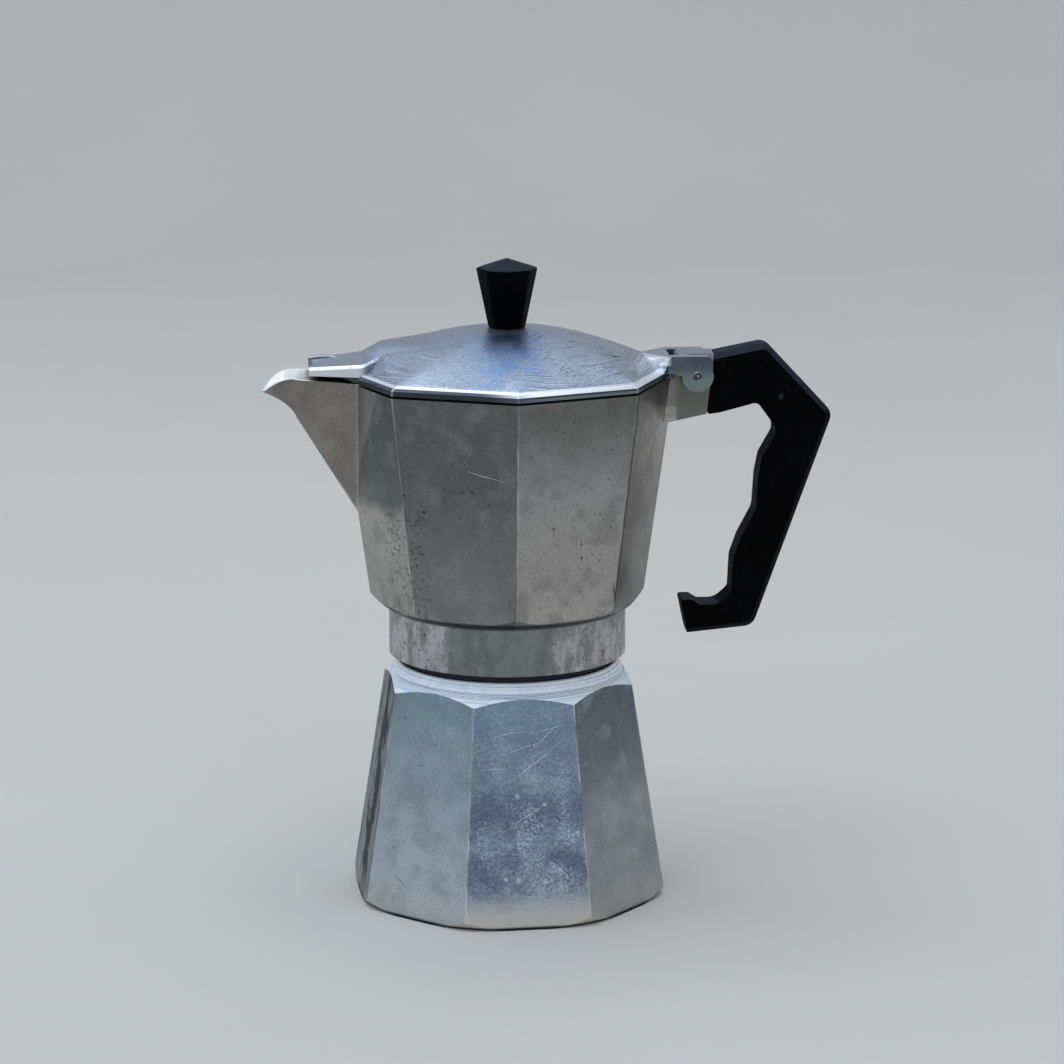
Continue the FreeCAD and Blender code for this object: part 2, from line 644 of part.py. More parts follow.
sub_part(on_valve_axis(valve_spring), "valve_spring")

# Funnel with its perforated plate

funnel_outer = f"({basket_radius} + funnel_wall)"
cone_foot = f"({basket_floor} - basket_cone)"
funnel = turned("funnel", [
    ("neck_bore + flange_lip", neck_rim),
    ("neck_bore + flange_lip", flange_top),
    (basket_radius, flange_top),
    (basket_radius, basket_floor),
    (f"{basket_radius} - basket_ledge", basket_floor),
    ("stem_radius - funnel_wall", cone_foot),
    ("stem_radius - funnel_wall", "boiler_floor + stem_gap"),
    ("stem_radius", "boiler_floor + stem_gap"),
    ("stem_radius", f"{cone_foot} - funnel_wall"),
    (funnel_outer, f"{basket_floor} - funnel_wall"),
    (funnel_outer, neck_rim),
])
sub_part(funnel, "funnel")
sub_part(perforated("funnel_plate", f"{basket_radius} - plate_clearance", "plate_thickness", basket_floor),
         "funnel_plate")

# Seal and filter plate under the collector

gasket = turned("gasket", [
    ("gasket_bore", flange_top),
    ("gasket_radius", flange_top),
    ("gasket_radius", gasket_top),
    ("gasket_bore", gasket_top),
])
sub_part(gasket, "gasket")
sub_part(perforated("filter_plate", "gasket_bore + filter_lap", "filter_thickness", gasket_top),
         "filter_plate")

# Collector

collector_block = lofted("collector_block", "XY_Plane", (
    (seat, octagon(f"(collector_low_radius - {collector_taper} * underside_rise)")),
    (rim, octagon("collector_high_radius")),
))
underside_flare = f"(2 * collector_low_radius - {band_radius})"
collector_turning = turned("collector_turning", [
    ("0", seat),
    (band_radius, seat),
    (underside_flare, f"{seat} + 2 * underside_rise"),
    (f"collector_high_radius + {underside_flare}", f"{seat} + 2 * underside_rise"),
    (f"collector_high_radius + {underside_flare}", f"{rim} + underside_rise"),
    ("0", f"{rim} + underside_rise"),
])
collector_outside = shared("collector_outside", [collector_block, collector_turning])
collector_band = cylinder("collector_band", band_radius, f"{seat} - {band_foot}", z=band_foot)


def spout_section(station, rim_height):
    width = f"spout_{station}_width"
    return f"-(collector_high_radius + {reach_of(station)})", [
        ("0", f"{rim} - spout_{station}_drop"),
        (width, f"{rim} + {rim_height}"),
        (f"-{width}", f"{rim} + {rim_height}"),
    ]


def reach_of(station):
    return "(0 - spout_root_inset)" if station == "root" else f"spout_{station}_reach"


def channel_section(station, rim_height):
    """Inside of the spout: the same V, one wall thickness in, and open above the rim."""
    width = f"spout_{station}_width"
    depth = f"(spout_{station}_drop + {rim_height})"
    slant = f"sqrt({width}^2 + {depth}^2)"
    keel = f"({rim} - spout_{station}_drop + spout_wall * {slant} / {width})"
    opening = f"(({rim} + collector_wall * 2 - {keel}) * {width} / {depth})"
    return f"-(collector_high_radius + {reach_of(station)})", [
        ("0", keel),
        (opening, f"{rim} + collector_wall * 2"),
        (f"-{opening}", f"{rim} + collector_wall * 2"),
    ]


spout_rim = (
    ("root", "spout_root_lift"),
    ("throat", "spout_throat_lift"),
    ("curl", "spout_curl_lift"),
    ("lip", "(0 - spout_lip_fall)"),
    ("nose", "(0 - spout_nose_fall)"),
    ("tip", "(0 - spout_tip_fall)"),
)
spout_trunk = lofted("spout_trunk", "YZ_Plane", [spout_section(*station) for station in spout_rim[:2]])
spout_lip = lofted("spout_lip", "YZ_Plane", [spout_section(*station) for station in spout_rim[1:]],
                   ruled=False)

lug = padded("lug", "XZ_Plane", [
    (f"{hinge_x} - lug_root_inset", f"{hinge_z} - lug_root_drop"),
    (f"{hinge_x} + handle_front_low_x", f"{hinge_z} + handle_front_low_z + handle_gap"),
    (f"{hinge_x} + handle_front_top_x", f"{hinge_z} + knuckle_radius"),
    (hinge_x, f"{hinge_z} + knuckle_radius"),
    (f"{hinge_x} - knuckle_radius", rim),
    (f"{hinge_x} - lug_root_inset", rim),
], "lug_half_width * 2")
knuckle = cylinder("knuckle", "knuckle_radius", "lug_half_width * 2", hinge_x, "-lug_half_width", hinge_z,
                   along_y)
lug_limit = padded("lug_limit", "XZ_Plane", [
    (f"{hinge_x} - lug_root_inset", f"{hinge_z} + handle_front_low_z * 2"),
    (f"{hinge_x} + 2 * handle_front_low_x - handle_front_top_x - handle_gap",
     f"{hinge_z} + 2 * handle_front_low_z - handle_front_top_z"),
    (f"{hinge_x} + handle_front_top_x - handle_gap", f"{hinge_z} + handle_front_top_z"),
    (f"{hinge_x} - lug_root_inset", f"{hinge_z} + handle_front_top_z"),
], "lug_half_width * 4")
lug_trimmed = shared("lug_trimmed", [fused("lug_blank", [lug, knuckle]), lug_limit])


def tongue_outline(start, clearance):
    return [
        (f"{hinge_x} + {start}", f"{hinge_z} + tongue_top + {clearance}"),
        (f"{hinge_x} + tongue_bend + {clearance}", f"{hinge_z} + tongue_top + {clearance}"),
        (f"{hinge_x} + tongue_reach + {clearance}", f"{hinge_z} - tongue_end_top + {clearance}"),
        (f"{hinge_x} + tongue_reach + {clearance}", f"{hinge_z} - tongue_end_bottom - {clearance}"),
        (f"{hinge_x} + tongue_bend", f"{hinge_z} - tongue_bottom - {clearance}"),
        (f"{hinge_x} + {start}", f"{hinge_z} - tongue_bottom - {clearance}"),
    ]


tongue = padded("tongue", "XZ_Plane", tongue_outline("0", "0"), "tongue_half_width * 2")
collector_solid = fused("collector_solid", [
    collector_outside, collector_band, spout_trunk, spout_lip, lug_trimmed, tongue,
])
inner_step = f"(collector_wall / cos({half_side}))"
cavity_top = f"(collector_high_radius + {collector_taper} * collector_wall - {inner_step})"
cavity = lofted("cavity", "XY_Plane", (
    (cavity_floor, octagon(f"(collector_low_radius - {inner_step})")),
    (f"{rim} + collector_wall", octagon(cavity_top)),
))
channel_trunk = lofted("channel_trunk", "YZ_Plane", [channel_section(*station) for station in spout_rim[:2]])
channel_lip = lofted("channel_lip", "YZ_Plane", [channel_section(*station) for station in spout_rim[1:5]])
skirt_hollow = turned("skirt_hollow", [
    ("0", f"{band_foot} - thread_lead"),
    (skirt_bore, f"{band_foot} - thread_lead"),
    (skirt_bore, f"{flange_top} + seal_clearance"),
    ("gasket_radius + seal_clearance", f"{flange_top} + seal_clearance"),
    ("gasket_radius + seal_clearance", seat),
    ("0", seat),
])
hinge_bore = cylinder("hinge_bore", "hinge_pin_radius + pin_clearance", "ear_outer * 2",
                      hinge_x, "-ear_outer", hinge_z, along_y)
pin_place_x = f"{hinge_x} + handle_pin_x"
pin_place_z = f"{hinge_z} + handle_pin_z"
tongue_bore = cylinder("tongue_bore", "handle_pin_radius + pin_clearance", "handle_half_width * 2",
                       pin_place_x, "-handle_half_width", pin_place_z, along_y)
collector_shell = cut("collector_shell", collector_solid, [
    cavity, channel_trunk, channel_lip, skirt_hollow, hinge_bore, tongue_bore,
])
column = turned("column", [
    ("0", f"{cavity_floor} - collector_floor / 2"),
    ("column_foot_radius", f"{cavity_floor} - collector_floor / 2"),
    ("column_foot_radius", cavity_floor),
    ("column_waist_radius", f"{cavity_floor} + column_waist_height"),
    ("column_top_radius", f"{cavity_floor} + column_height"),
    ("0", f"{cavity_floor} + column_height"),
])
passage = turned("passage", [
    ("0", f"{seat} - filter_thickness / 2"),
    ("passage_radius", f"{seat} - filter_thickness / 2"),
    ("passage_radius", seat),
    ("passage_throat_radius", f"{seat} + passage_throat_rise"),
    ("column_waist_radius - column_wall", f"{cavity_floor} + column_waist_height"),
    ("column_top_radius - column_wall", f"{cavity_floor} + column_height - column_cap"),
    ("0", f"{cavity_floor} + column_height - column_cap"),
])
outlet_top = f"{cavity_floor} + column_height - column_cap - column_wall"
outlets = box("outlets", ("-outlet_width / 2", "-column_waist_radius * 2", f"{outlet_top} - outlet_height"),
              ("outlet_width / 2", "column_waist_radius * 2", outlet_top))
skirt_thread = thread_ridge("skirt_thread", skirt_bore, f"{skirt_bore} - thread_depth",
                            f"{skirt_bore} + thread_sink", f"({thread_foot} + thread_pitch / 2)",
                            "thread_turns - 0.5")
collector_filled = fused("collector_filled", [collector_shell, column, skirt_thread])
sub_part(cut("collector", collector_filled, [passage, outlets]), "collector")

# Handle with its cross pin

handle_corners = (
    ("handle_front_top_x", "handle_front_top_z", None),
    ("handle_crest_x", "handle_crest_z", "corner_round"),
    ("handle_elbow_x", "handle_elbow_z", "corner_round"),
    ("handle_heel_x", "handle_heel_z", "corner_round"),
    ("handle_toe_x", "handle_toe_z", None),
    ("handle_hook_x", "handle_hook_z", "tip_round"),
    ("handle_hook_x + handle_hook_depth", "handle_hook_z", "tip_round"),
    ("handle_valley_x", "handle_valley_z", "crook_round"),
    ("handle_valley_x + handle_valley_length", "handle_valley_z", "grip_round"),
    ("handle_palm_x", "handle_palm_z", "crook_round"),
    ("grip_low_x", "grip_low_z", "grip_round"),
    ("grip_hollow_x", "grip_hollow_z", "grip_round"),
    ("grip_middle_x", "grip_middle_z", "grip_round"),
    ("grip_upper_x", "grip_upper_z", "grip_round"),
    ("grip_top_x", "grip_top_z", "crook_round"),
    ("crook_back_x", "crook_back_low_z", "crook_round"),
    ("crook_back_x", "crook_back_high_z", "crook_round"),
    ("crook_roof_x", "crook_roof_z", "crook_round"),
    ("crook_front_x", "crook_front_z", "crook_round"),
    ("handle_front_low_x", "handle_front_low_z", "tip_round"),
)
outer_sides = 4
handle_body = padded("handle_body", "XZ_Plane", [corner[:2] for corner in handle_corners],
                     "handle_half_width * 2")
doc.recompute()
handle_points = [side.StartPoint for side in handle_body.Group[0].Geometry]


def edges_across(shape, points):
    """Names of the edges that cross the handle at the given corners of its outline."""
    names = []
    for number, edge in enumerate(shape.Edges, start=1):
        low, high = edge.BoundBox.YMin, edge.BoundBox.YMax
        middle = edge.CenterOfMass
        near = min(math.hypot(middle.x - point.x, middle.z - point.y) for point in points)
        if high - low > size("handle_half_width") and near < 0.01:
            names.append(f"Edge{number}")
    return names


def nearest_side(middle):
    """Number of the outline side that lies nearest to a point of the handle."""
    distances = []
    for number, start in enumerate(handle_points):
        end = handle_points[(number + 1) % len(handle_points)]
        side = Part.LineSegment(start, end).toShape()
        distances.append(side.distToShape(Part.Vertex(middle.x, middle.z, 0))[0])
    return distances.index(min(distances))


def edges_round(shape, numbers):
    """Names of the edges of both flat faces that belong to the given sides of the outline."""
    names = []
    for number, edge in enumerate(shape.Edges, start=1):
        flat = edge.BoundBox.YMax - edge.BoundBox.YMin < 0.01
        outside = abs(abs(edge.CenterOfMass.y) - size("handle_half_width")) < 0.01
        if flat and outside and nearest_side(edge.valueAt(sum(edge.ParameterRange) / 2)) in numbers:
            names.append(f"Edge{number}")
    return names


def dress(kind, name, names, measure, alias):
    base = handle_body.Tip
    feature = handle_body.newObject(f"PartDesign::{kind}", name)
    feature.Base = (base, names)
    tie(feature, measure, alias)
    doc.recompute()
    return feature


def round_corners(rounding):
    points = [point for point, corner in zip(handle_points, handle_corners) if corner[2] == rounding]
    dress("Fillet", f"handle_{rounding}", edges_across(handle_body.Tip.Shape, points), "Radius", rounding)


round_corners("corner_round")
bevelled = edges_round(handle_body.Tip.Shape, range(outer_sides))
dress("Chamfer", "handle_outer_bevel", bevelled, "Size", "handle_bevel")
round_corners("grip_round")
round_corners("crook_round")
round_corners("tip_round")
place(handle_body, hinge_x, "0", hinge_z)
socket_outline = tongue_outline("handle_front_low_x - socket_clearance", "socket_clearance")
handle_socket = padded("handle_socket", "XZ_Plane", socket_outline,
                       "(tongue_half_width + socket_clearance) * 2")
handle_bore = cylinder("handle_bore", "handle_pin_radius + pin_clearance", "handle_half_width * 4",
                       pin_place_x, "-handle_half_width * 2", pin_place_z, along_y)
sub_part(cut("handle", handle_body, [handle_socket, handle_bore]), "handle")
handle_pin = cylinder("handle_pin", "handle_pin_radius", "(handle_half_width - handle_pin_sink) * 2",
                      pin_place_x, "handle_pin_sink - handle_half_width", pin_place_z, along_y)
sub_part(handle_pin, "handle_pin")
hinge_pin = cylinder("hinge_pin", "hinge_pin_radius", "(ear_outer + pin_head) * 2",
                     hinge_x, "-ear_outer - pin_head", hinge_z, along_y)
sub_part(hinge_pin, "hinge_pin")

# Lid

lid_radius = "(collector_high_radius - lid_inset)"
bevel_radius = f"({lid_radius} - lid_bevel_width)"
lid_edge = lofted("lid_edge", "XY_Plane", (
    (lid_foot, octagon(lid_radius)),
    (bevel_foot, octagon(lid_radius)),
))
lid_slope = lofted("lid_slope", "XY_Plane", (
    (bevel_foot, octagon(lid_radius)),
    (bevel_top, octagon(bevel_radius)),
))
dome_radius = size("collector_high_radius") - size("lid_inset") - size("lid_bevel_width")
lid_dome = dome("lid_dome", dome_radius, size("lid_rise"), size("lid_crown_radius"), bevel_top)


def cover_section(half, low, top):
    return [
        (half, low),
        (half, f"{top} - cover_edge"),
        (f"{half} - cover_edge", top),
        (f"cover_edge - {half}", top),
        (f"-{half}", f"{top} - cover_edge"),
        (f"-{half}", low),
    ]


cover_foot = f"{rim} + cover_low"
step_top = f"({rim} + cover_root_top + cover_step_rise)"
cover_plate = lofted("cover_plate", "YZ_Plane", (
    ("-collector_high_radius - cover_reach",
     cover_section("cover_end_half", cover_foot, f"{rim} + cover_end_top")),
    ("cover_root - collector_high_radius",
     cover_section("cover_root_half", cover_foot, f"{rim} + cover_root_top")),
    ("cover_root + cover_step - collector_high_radius",
     cover_section("cover_step_half", cover_foot, step_top)),
    ("cover_root + cover_step + cover_tail - collector_high_radius",
     cover_section("cover_tail_half", cover_foot, f"{step_top} + cover_tail_rise")),
))
cover_hollow = cylinder("cover_hollow", "cover_notch_radius", "lid_rise",
                        "-collector_high_radius - cover_reach - cover_notch_radius + cover_notch", "0", rim)
spout_cover = cut("spout_cover", cover_plate, [cover_hollow])


def wedge_corners(tip, half):
    return [
        (f"{hinge_x} - {tip}", "0"),
        (f"{hinge_x} - notch_front", f"-{half}"),
        (f"{hinge_x} - notch_front", half),
    ]


wedge = lofted("wedge", "XY_Plane", (
    (bevel_foot, wedge_corners("wedge_foot_tip", "wedge_foot_half")),
    (f"{hinge_z} + ear_top", wedge_corners("wedge_tip", "wedge_half")),
))
ear_plate = padded("ear_plate", "XZ_Plane", [
    (f"{hinge_x} - ear_front", f"{hinge_z} + ear_under"),
    (f"{hinge_x} - ear_front + ear_slope", f"{hinge_z} + ear_top"),
    (f"{hinge_x} + ear_back - ear_round", f"{hinge_z} + ear_top"),
    (f"{hinge_x} + ear_back", f"{hinge_z} + ear_top - ear_round"),
    (f"{hinge_x} + ear_back", hinge_z),
    (f"{hinge_x} - ear_radius", hinge_z),
    (f"{hinge_x} - ear_radius - ear_under", f"{hinge_z} + ear_under"),
], "ear_outer * 2")
ear_barrel = cylinder("ear_barrel", "ear_radius", "ear_outer * 2", hinge_x, "-ear_outer", hinge_z, along_y)
lid_solid = fused("lid_solid", [lid_edge, lid_slope, lid_dome, spout_cover, wedge, ear_plate, ear_barrel])
hollow_radius = f"({bevel_radius} - lid_wall)"
lid_mouth = lofted("lid_mouth", "XY_Plane", (
    (f"{lid_foot} - lid_wall", octagon(hollow_radius)),
    (f"{bevel_top} - lid_wall", octagon(hollow_radius)),
))
lid_vault = dome("lid_vault", dome_radius - size("lid_wall"), size("lid_rise"), size("lid_crown_radius"),
                 f"{bevel_top} - lid_wall")
lid_notch = box("lid_notch", (f"{hinge_x} - notch_front", "-ear_inner", f"{lid_foot} - lid_rise"),
                (f"{hinge_x} + notch_front", "ear_inner", f"{hinge_z} + lid_rise"))
lid_screw_hole = cylinder("lid_screw_hole", "knob_screw_radius + screw_clearance", "lid_rise",
                          z=f"{crown} - lid_wall * 2")
lid_bore = cylinder("lid_bore", "hinge_pin_radius + pin_clearance", "ear_outer * 4",
                    hinge_x, "-ear_outer * 2", hinge_z, along_y)
sub_part(cut("lid", lid_solid, [lid_mouth, lid_vault, lid_notch, lid_screw_hole, lid_bore]), "lid")

# Knob and the screw that holds it

knob_waist = f"({crown} + knob_height)"
knob_stem = lofted("knob_stem", "XY_Plane", (
    (crown, octagon("knob_low_radius", flat="knob_flat")),
    (knob_waist, octagon("knob_high_radius", flat="knob_flat")),
))
knob_top = lofted("knob_top", "XY_Plane", (
    (knob_waist, octagon("knob_high_radius", flat="knob_flat")),
    (f"{knob_waist} + knob_peak", octagon("knob_peak_radius", flat="knob_flat / 5")),
))
knob_socket = cylinder("knob_socket", "insert_radius + pin_clearance", "insert_length", z=crown)
sub_part(cut("knob", fused("knob_solid", [knob_stem, knob_top]), [knob_socket]), "knob")
knob_insert = turned("knob_insert", [
    ("knob_screw_radius + screw_clearance", crown),
    ("insert_radius", crown),
    ("insert_radius", f"{crown} + insert_length"),
    ("knob_screw_radius + screw_clearance", f"{crown} + insert_length"),
])
sub_part(knob_insert, "knob_insert")
washer_top = f"({crown} - lid_wall)"
head_top = f"({washer_top} - knob_washer_thickness)"
head_foot = f"({head_top} - screw_head_height)"
knob_washer = turned("knob_washer", [
    ("knob_screw_radius + screw_clearance", head_top),
    ("knob_washer_radius", head_top),
    ("knob_washer_radius", washer_top),
    ("knob_screw_radius + screw_clearance", washer_top),
])
sub_part(knob_washer, "knob_washer")
screw_blank = turned("screw_blank", [
    ("0", head_foot),
    ("screw_head_radius", head_foot),
    ("screw_head_radius", head_top),
    ("knob_screw_radius", head_top),
    ("knob_screw_radius", f"{crown} + knob_screw_reach"),
    ("0", f"{crown} + knob_screw_reach"),
])
driver_slot = box("driver_slot",
                  ("-screw_head_radius * 2", "-screw_slot / 2", f"{head_foot} - screw_head_height"),
                  ("screw_head_radius * 2", "screw_slot / 2", f"{head_foot} + screw_slot_depth"))
sub_part(cut("knob_screw", screw_blank, [driver_slot]), "knob_screw")

doc.recompute()
for item in doc.Objects:
    if "Invalid" in item.State or "Error" in item.State:
        raise RuntimeError(f"{item.Name} did not build: {item.State}")
for item in pieces:
    shape = item.Shape
    if shape.isNull() or not shape.isValid() or not shape.Solids:
        raise RuntimeError(f"{item.Label} is not a sound solid")
os.makedirs("parts", exist_ok=True)
for item in pieces:
    item.Shape.exportStep(f"parts/{item.Label}.step")
    print(item.Label, len(item.Shape.Solids), round(item.Shape.Volume, 1))
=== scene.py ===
import bmesh
import bpy
import json
import math
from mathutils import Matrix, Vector
from mathutils.bvhtree import BVHTree


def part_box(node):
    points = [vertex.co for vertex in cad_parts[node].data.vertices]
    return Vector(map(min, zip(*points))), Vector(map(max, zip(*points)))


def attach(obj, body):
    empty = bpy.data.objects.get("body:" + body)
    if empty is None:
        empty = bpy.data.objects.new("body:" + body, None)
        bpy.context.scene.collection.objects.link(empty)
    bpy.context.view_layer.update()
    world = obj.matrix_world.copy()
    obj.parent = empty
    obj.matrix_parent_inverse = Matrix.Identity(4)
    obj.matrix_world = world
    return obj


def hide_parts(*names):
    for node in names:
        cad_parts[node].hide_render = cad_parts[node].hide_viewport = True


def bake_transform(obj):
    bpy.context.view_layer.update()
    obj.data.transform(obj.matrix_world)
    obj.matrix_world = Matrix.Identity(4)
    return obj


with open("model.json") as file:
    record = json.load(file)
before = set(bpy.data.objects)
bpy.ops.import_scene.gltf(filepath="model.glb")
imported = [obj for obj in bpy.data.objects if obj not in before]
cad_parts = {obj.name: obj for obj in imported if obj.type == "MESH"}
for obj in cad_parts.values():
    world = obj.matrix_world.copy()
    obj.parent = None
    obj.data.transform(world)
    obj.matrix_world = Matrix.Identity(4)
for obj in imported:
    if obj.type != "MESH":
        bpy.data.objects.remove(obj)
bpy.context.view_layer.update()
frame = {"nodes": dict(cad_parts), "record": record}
nodes = frame["nodes"]
bodies = frame["record"]["behaviour"]["bodies"]
scene = bpy.context.scene
scene.view_settings.view_transform = "Standard"
print("frame loaded:", len(nodes), "nodes")

# the two cast vessels: eight flat sides that lean, metres
sideCount = 8
sideAngle = math.radians(360 / sideCount)
boilerShape = {"turn": math.radians(-18.5), "lowRadius": 0.05505, "lowHeight": 0.0033,
               "highRadius": 0.04367, "highHeight": 0.0734}
collectorShape = {"turn": 0.0, "lowRadius": 0.04665, "lowHeight": 0.104,
                  "highRadius": 0.0567, "highHeight": 0.177}
# sides that face the viewer, counted from the handle
leftRear, leftFront, rightFront, rightRear = 4, 5, 6, 7
behindAll = 0  # stands for the four sides behind


def onSide(shape, side, across, height, proud=0.0):
    # a point on one flat side, from its middle line and the table
    angle = shape["turn"] + sideAngle * (side + 0.5)
    share = (height - shape["lowHeight"]) / (shape["highHeight"] - shape["lowHeight"])
    radius = shape["lowRadius"] + (shape["highRadius"] - shape["lowRadius"]) * share
    reach = radius * math.cos(sideAngle / 2) + proud
    return Vector((math.cos(angle) * reach - math.sin(angle) * across,
                   math.sin(angle) * reach + math.cos(angle) * across, height))


# small helpers for node trees, each finds its tree from a socket that it is given

def wire(tree, kind, inputs=(), **settings):
    node = tree.nodes.new(kind)
    for key, value in settings.items():
        setattr(node, key, value)
    for socket, value in dict(inputs).items():
        if isinstance(value, bpy.types.NodeSocket):
            tree.links.new(value, node.inputs[socket])
        else:
            node.inputs[socket].default_value = value
    return node


def link(value, socket):
    value.id_data.links.new(value, socket)


def calc(operation, *values):
    tree = next(value.id_data for value in values if isinstance(value, bpy.types.NodeSocket))
    return wire(tree, "ShaderNodeMath", enumerate(values), operation=operation).outputs[0]


def times(*values):
    result = values[0]
    for value in values[1:]:
        result = calc("MULTIPLY", result, value)
    return result


def inverse(value):
    return calc("SUBTRACT", 1.0, value)


def length(across, along):
    return calc("SQRT", calc("ADD", times(across, across), times(along, along)))


def mixValue(share, low, high):
    return calc("MULTIPLY_ADD", share, high - low, low)


def fade(value, start, end):
    # from 0 at start to 1 at end
    inputs = {"Value": value, "From Min": start, "From Max": end}
    node = wire(value.id_data, "ShaderNodeMapRange", inputs, interpolation_type="SMOOTHSTEP")
    return node.outputs["Result"]


def axesOf(vector):
    return wire(vector.id_data, "ShaderNodeSeparateXYZ", {0: vector}).outputs


def lifted(height):
    return wire(height.id_data, "ShaderNodeCombineXYZ", {2: height}).outputs[0]


def mapped(place, stretch=(1, 1, 1), turn=(0, 0, 0)):
    inputs = {"Vector": place, "Scale": stretch, "Rotation": turn}
    return wire(place.id_data, "ShaderNodeMapping", inputs).outputs[0]


def grain(place, scale, detail, stretch=(1, 1, 1)):
    inputs = {"Vector": mapped(place, stretch), "Scale": scale, "Detail": detail}
    return wire(place.id_data, "ShaderNodeTexNoise", inputs).outputs[0]


def solid(colour):
    return colour if isinstance(colour, bpy.types.NodeSocket) else (*colour, 1)


def tint(share, below, above):
    inputs = {0: share, 6: solid(below), 7: solid(above)}
    return wire(share.id_data, "ShaderNodeMix", inputs, data_type="RGBA").outputs[2]


def stain(tone, colour, *shares):
    # a layer of colour over the tone, as strong as its shares multiplied
    return tint(times(*shares), tone, colour)


def filtered(tone, layer):
    inputs = {0: 1.0, 6: tone, 7: layer}
    node = wire(layer.id_data, "ShaderNodeMix", inputs, data_type="RGBA", blend_type="MULTIPLY")
    return node.outputs[2]


def newGroup(name, vectors, values, outputs):
    group = bpy.data.node_groups.new(name, "ShaderNodeTree")
    for label in vectors:
        group.interface.new_socket(label, in_out="INPUT", socket_type="NodeSocketVector")
    for label, value in values.items():
        socket = group.interface.new_socket(label, in_out="INPUT", socket_type="NodeSocketFloat")
        socket.default_value = value
    for label in outputs:
        group.interface.new_socket(label, in_out="OUTPUT", socket_type="NodeSocketFloat")
    return group, wire(group, "NodeGroupInput").outputs, wire(group, "NodeGroupOutput").inputs


def use(group, inputs):
    return wire(inputs["Place"].id_data, "ShaderNodeGroup", inputs, node_tree=group).outputs


def makeSideEdges():
    # where a point lies on an eight-sided vessel: its side, and how near it is to a corner
    group, given, result = newGroup("sideEdges", ("Place",), {"Turn": 0.0, "Width": 0.001},
                                    ("Edge", "Side", "Across"))
    axes = axesOf(given["Place"])
    angle = calc("SUBTRACT", calc("ARCTAN2", axes[1], axes[0]), given["Turn"])
    count = calc("DIVIDE", angle, sideAngle)
    part = calc("FLOORED_MODULO", count, 1.0)
    nearest = calc("MINIMUM", part, inverse(part))
    distance = times(nearest, length(axes[0], axes[1]), sideAngle)
    edge = inverse(fade(calc("DIVIDE", distance, given["Width"]), 0.55, 1.0))
    rubbed = fade(grain(given["Place"], 110, 4), 0.36, 0.64)  # the line, partly real wear and partly a painted highlight, comes and goes along the corner
    link(times(edge, rubbed), result["Edge"])
    link(calc("FLOORED_MODULO", calc("FLOOR", count), float(sideCount)), result["Side"])
    link(part, result["Across"])
    return group


def makeCastPits():
    # round hollows, in some cells of a pattern
    group, given, result = newGroup("castPits", ("Place",), {"Scale": 500.0, "Share": 0.3, "Size": 0.25},
                                    ("Pit",))
    cells = wire(group, "ShaderNodeTexVoronoi", {"Vector": given["Place"], "Scale": given["Scale"]})
    chance = wire(group, "ShaderNodeSeparateColor", {0: cells.outputs["Color"]}).outputs
    rim = times(given["Size"], chance[1])
    hollow = inverse(fade(calc("DIVIDE", cells.outputs["Distance"], rim), 0.5, 1.0))
    kept = calc("LESS_THAN", chance[0], given["Share"])
    link(times(hollow, kept), result["Pit"])
    return group


def makeHairScratches():
    # streaks along the X axis of the turned place, long and thin
    group, given, result = newGroup("hairScratches", ("Place", "Turn"),
                                    {"Fine": 5000.0, "Long": 90.0, "Level": 0.62}, ("Scratch",))
    turned = mapped(given["Place"], turn=given["Turn"])
    stretch = wire(group, "ShaderNodeCombineXYZ", {0: given["Long"], 1: given["Fine"], 2: given["Fine"]})
    streak = wire(group, "ShaderNodeVectorMath", {0: turned, 1: stretch.outputs[0]}, operation="MULTIPLY")
    inputs = {"Vector": streak.outputs[0], "Scale": 1.0, "Detail": 1.0}
    lines = wire(group, "ShaderNodeTexNoise", inputs).outputs[0]
    sharp = fade(lines, given["Level"], calc("ADD", given["Level"], 0.08))
    patch = fade(grain(given["Place"], 70, 2), 0.42, 0.6)  # scratches gather in places
    link(times(sharp, patch), result["Scratch"])
    return group


def makeLatheRings():
    # fine rings round the upright axis
    group, given, result = newGroup("latheRings", ("Place",), {"Pitch": 0.0004, "Lean": 0.5}, ("Ring",))
    axes = axesOf(given["Place"])
    outward = calc("ADD", length(axes[0], axes[1]), times(axes[2], given["Lean"]))
    sweep = calc("ARCTAN2", axes[1], axes[0])
    spot = wire(group, "ShaderNodeCombineXYZ", {0: calc("DIVIDE", outward, given["Pitch"]), 1: sweep})
    inputs = {"Vector": spot.outputs[0], "Scale": 1.0, "Detail": 2.0}
    link(wire(group, "ShaderNodeTexNoise", inputs, noise_dimensions="2D").outputs[0], result["Ring"])
    return group


def makeOxide():
    # cloudy tarnish with a torn edge
    group, given, result = newGroup("oxide", ("Place",), {"Scale": 60.0, "Level": 0.5, "Soft": 0.1},
                                    ("Cloud",))
    inputs = {"Vector": given["Place"], "Scale": given["Scale"], "Detail": 7.0, "Roughness": 0.62,
              "Distortion": 0.35}
    wide = wire(group, "ShaderNodeTexNoise", inputs).outputs[0]
    low = calc("SUBTRACT", given["Level"], given["Soft"])
    high = calc("ADD", given["Level"], given["Soft"])
    link(fade(wide, low, high), result["Cloud"])
    return group


sideEdges = makeSideEdges()
castPits = makeCastPits()
hairScratches = makeHairScratches()
latheRings = makeLatheRings()
oxide = makeOxide()
print("shader groups ready")


def newMaterial(name, metallic):
    material = bpy.data.materials.new(name)
    material.use_nodes = True
    shader = material.node_tree.nodes["Principled BSDF"]
    shader.inputs["Metallic"].default_value = metallic
    return material, shader, wire(material.node_tree, "ShaderNodeTexCoord").outputs["Object"]


def facingOf(shader):
    return axesOf(wire(shader.id_data, "ShaderNodeTexCoord").outputs["Normal"])


def clouds(place, scale, level, soft):
    return use(oxide, {"Place": place, "Scale": scale, "Level": level, "Soft": soft})["Cloud"]


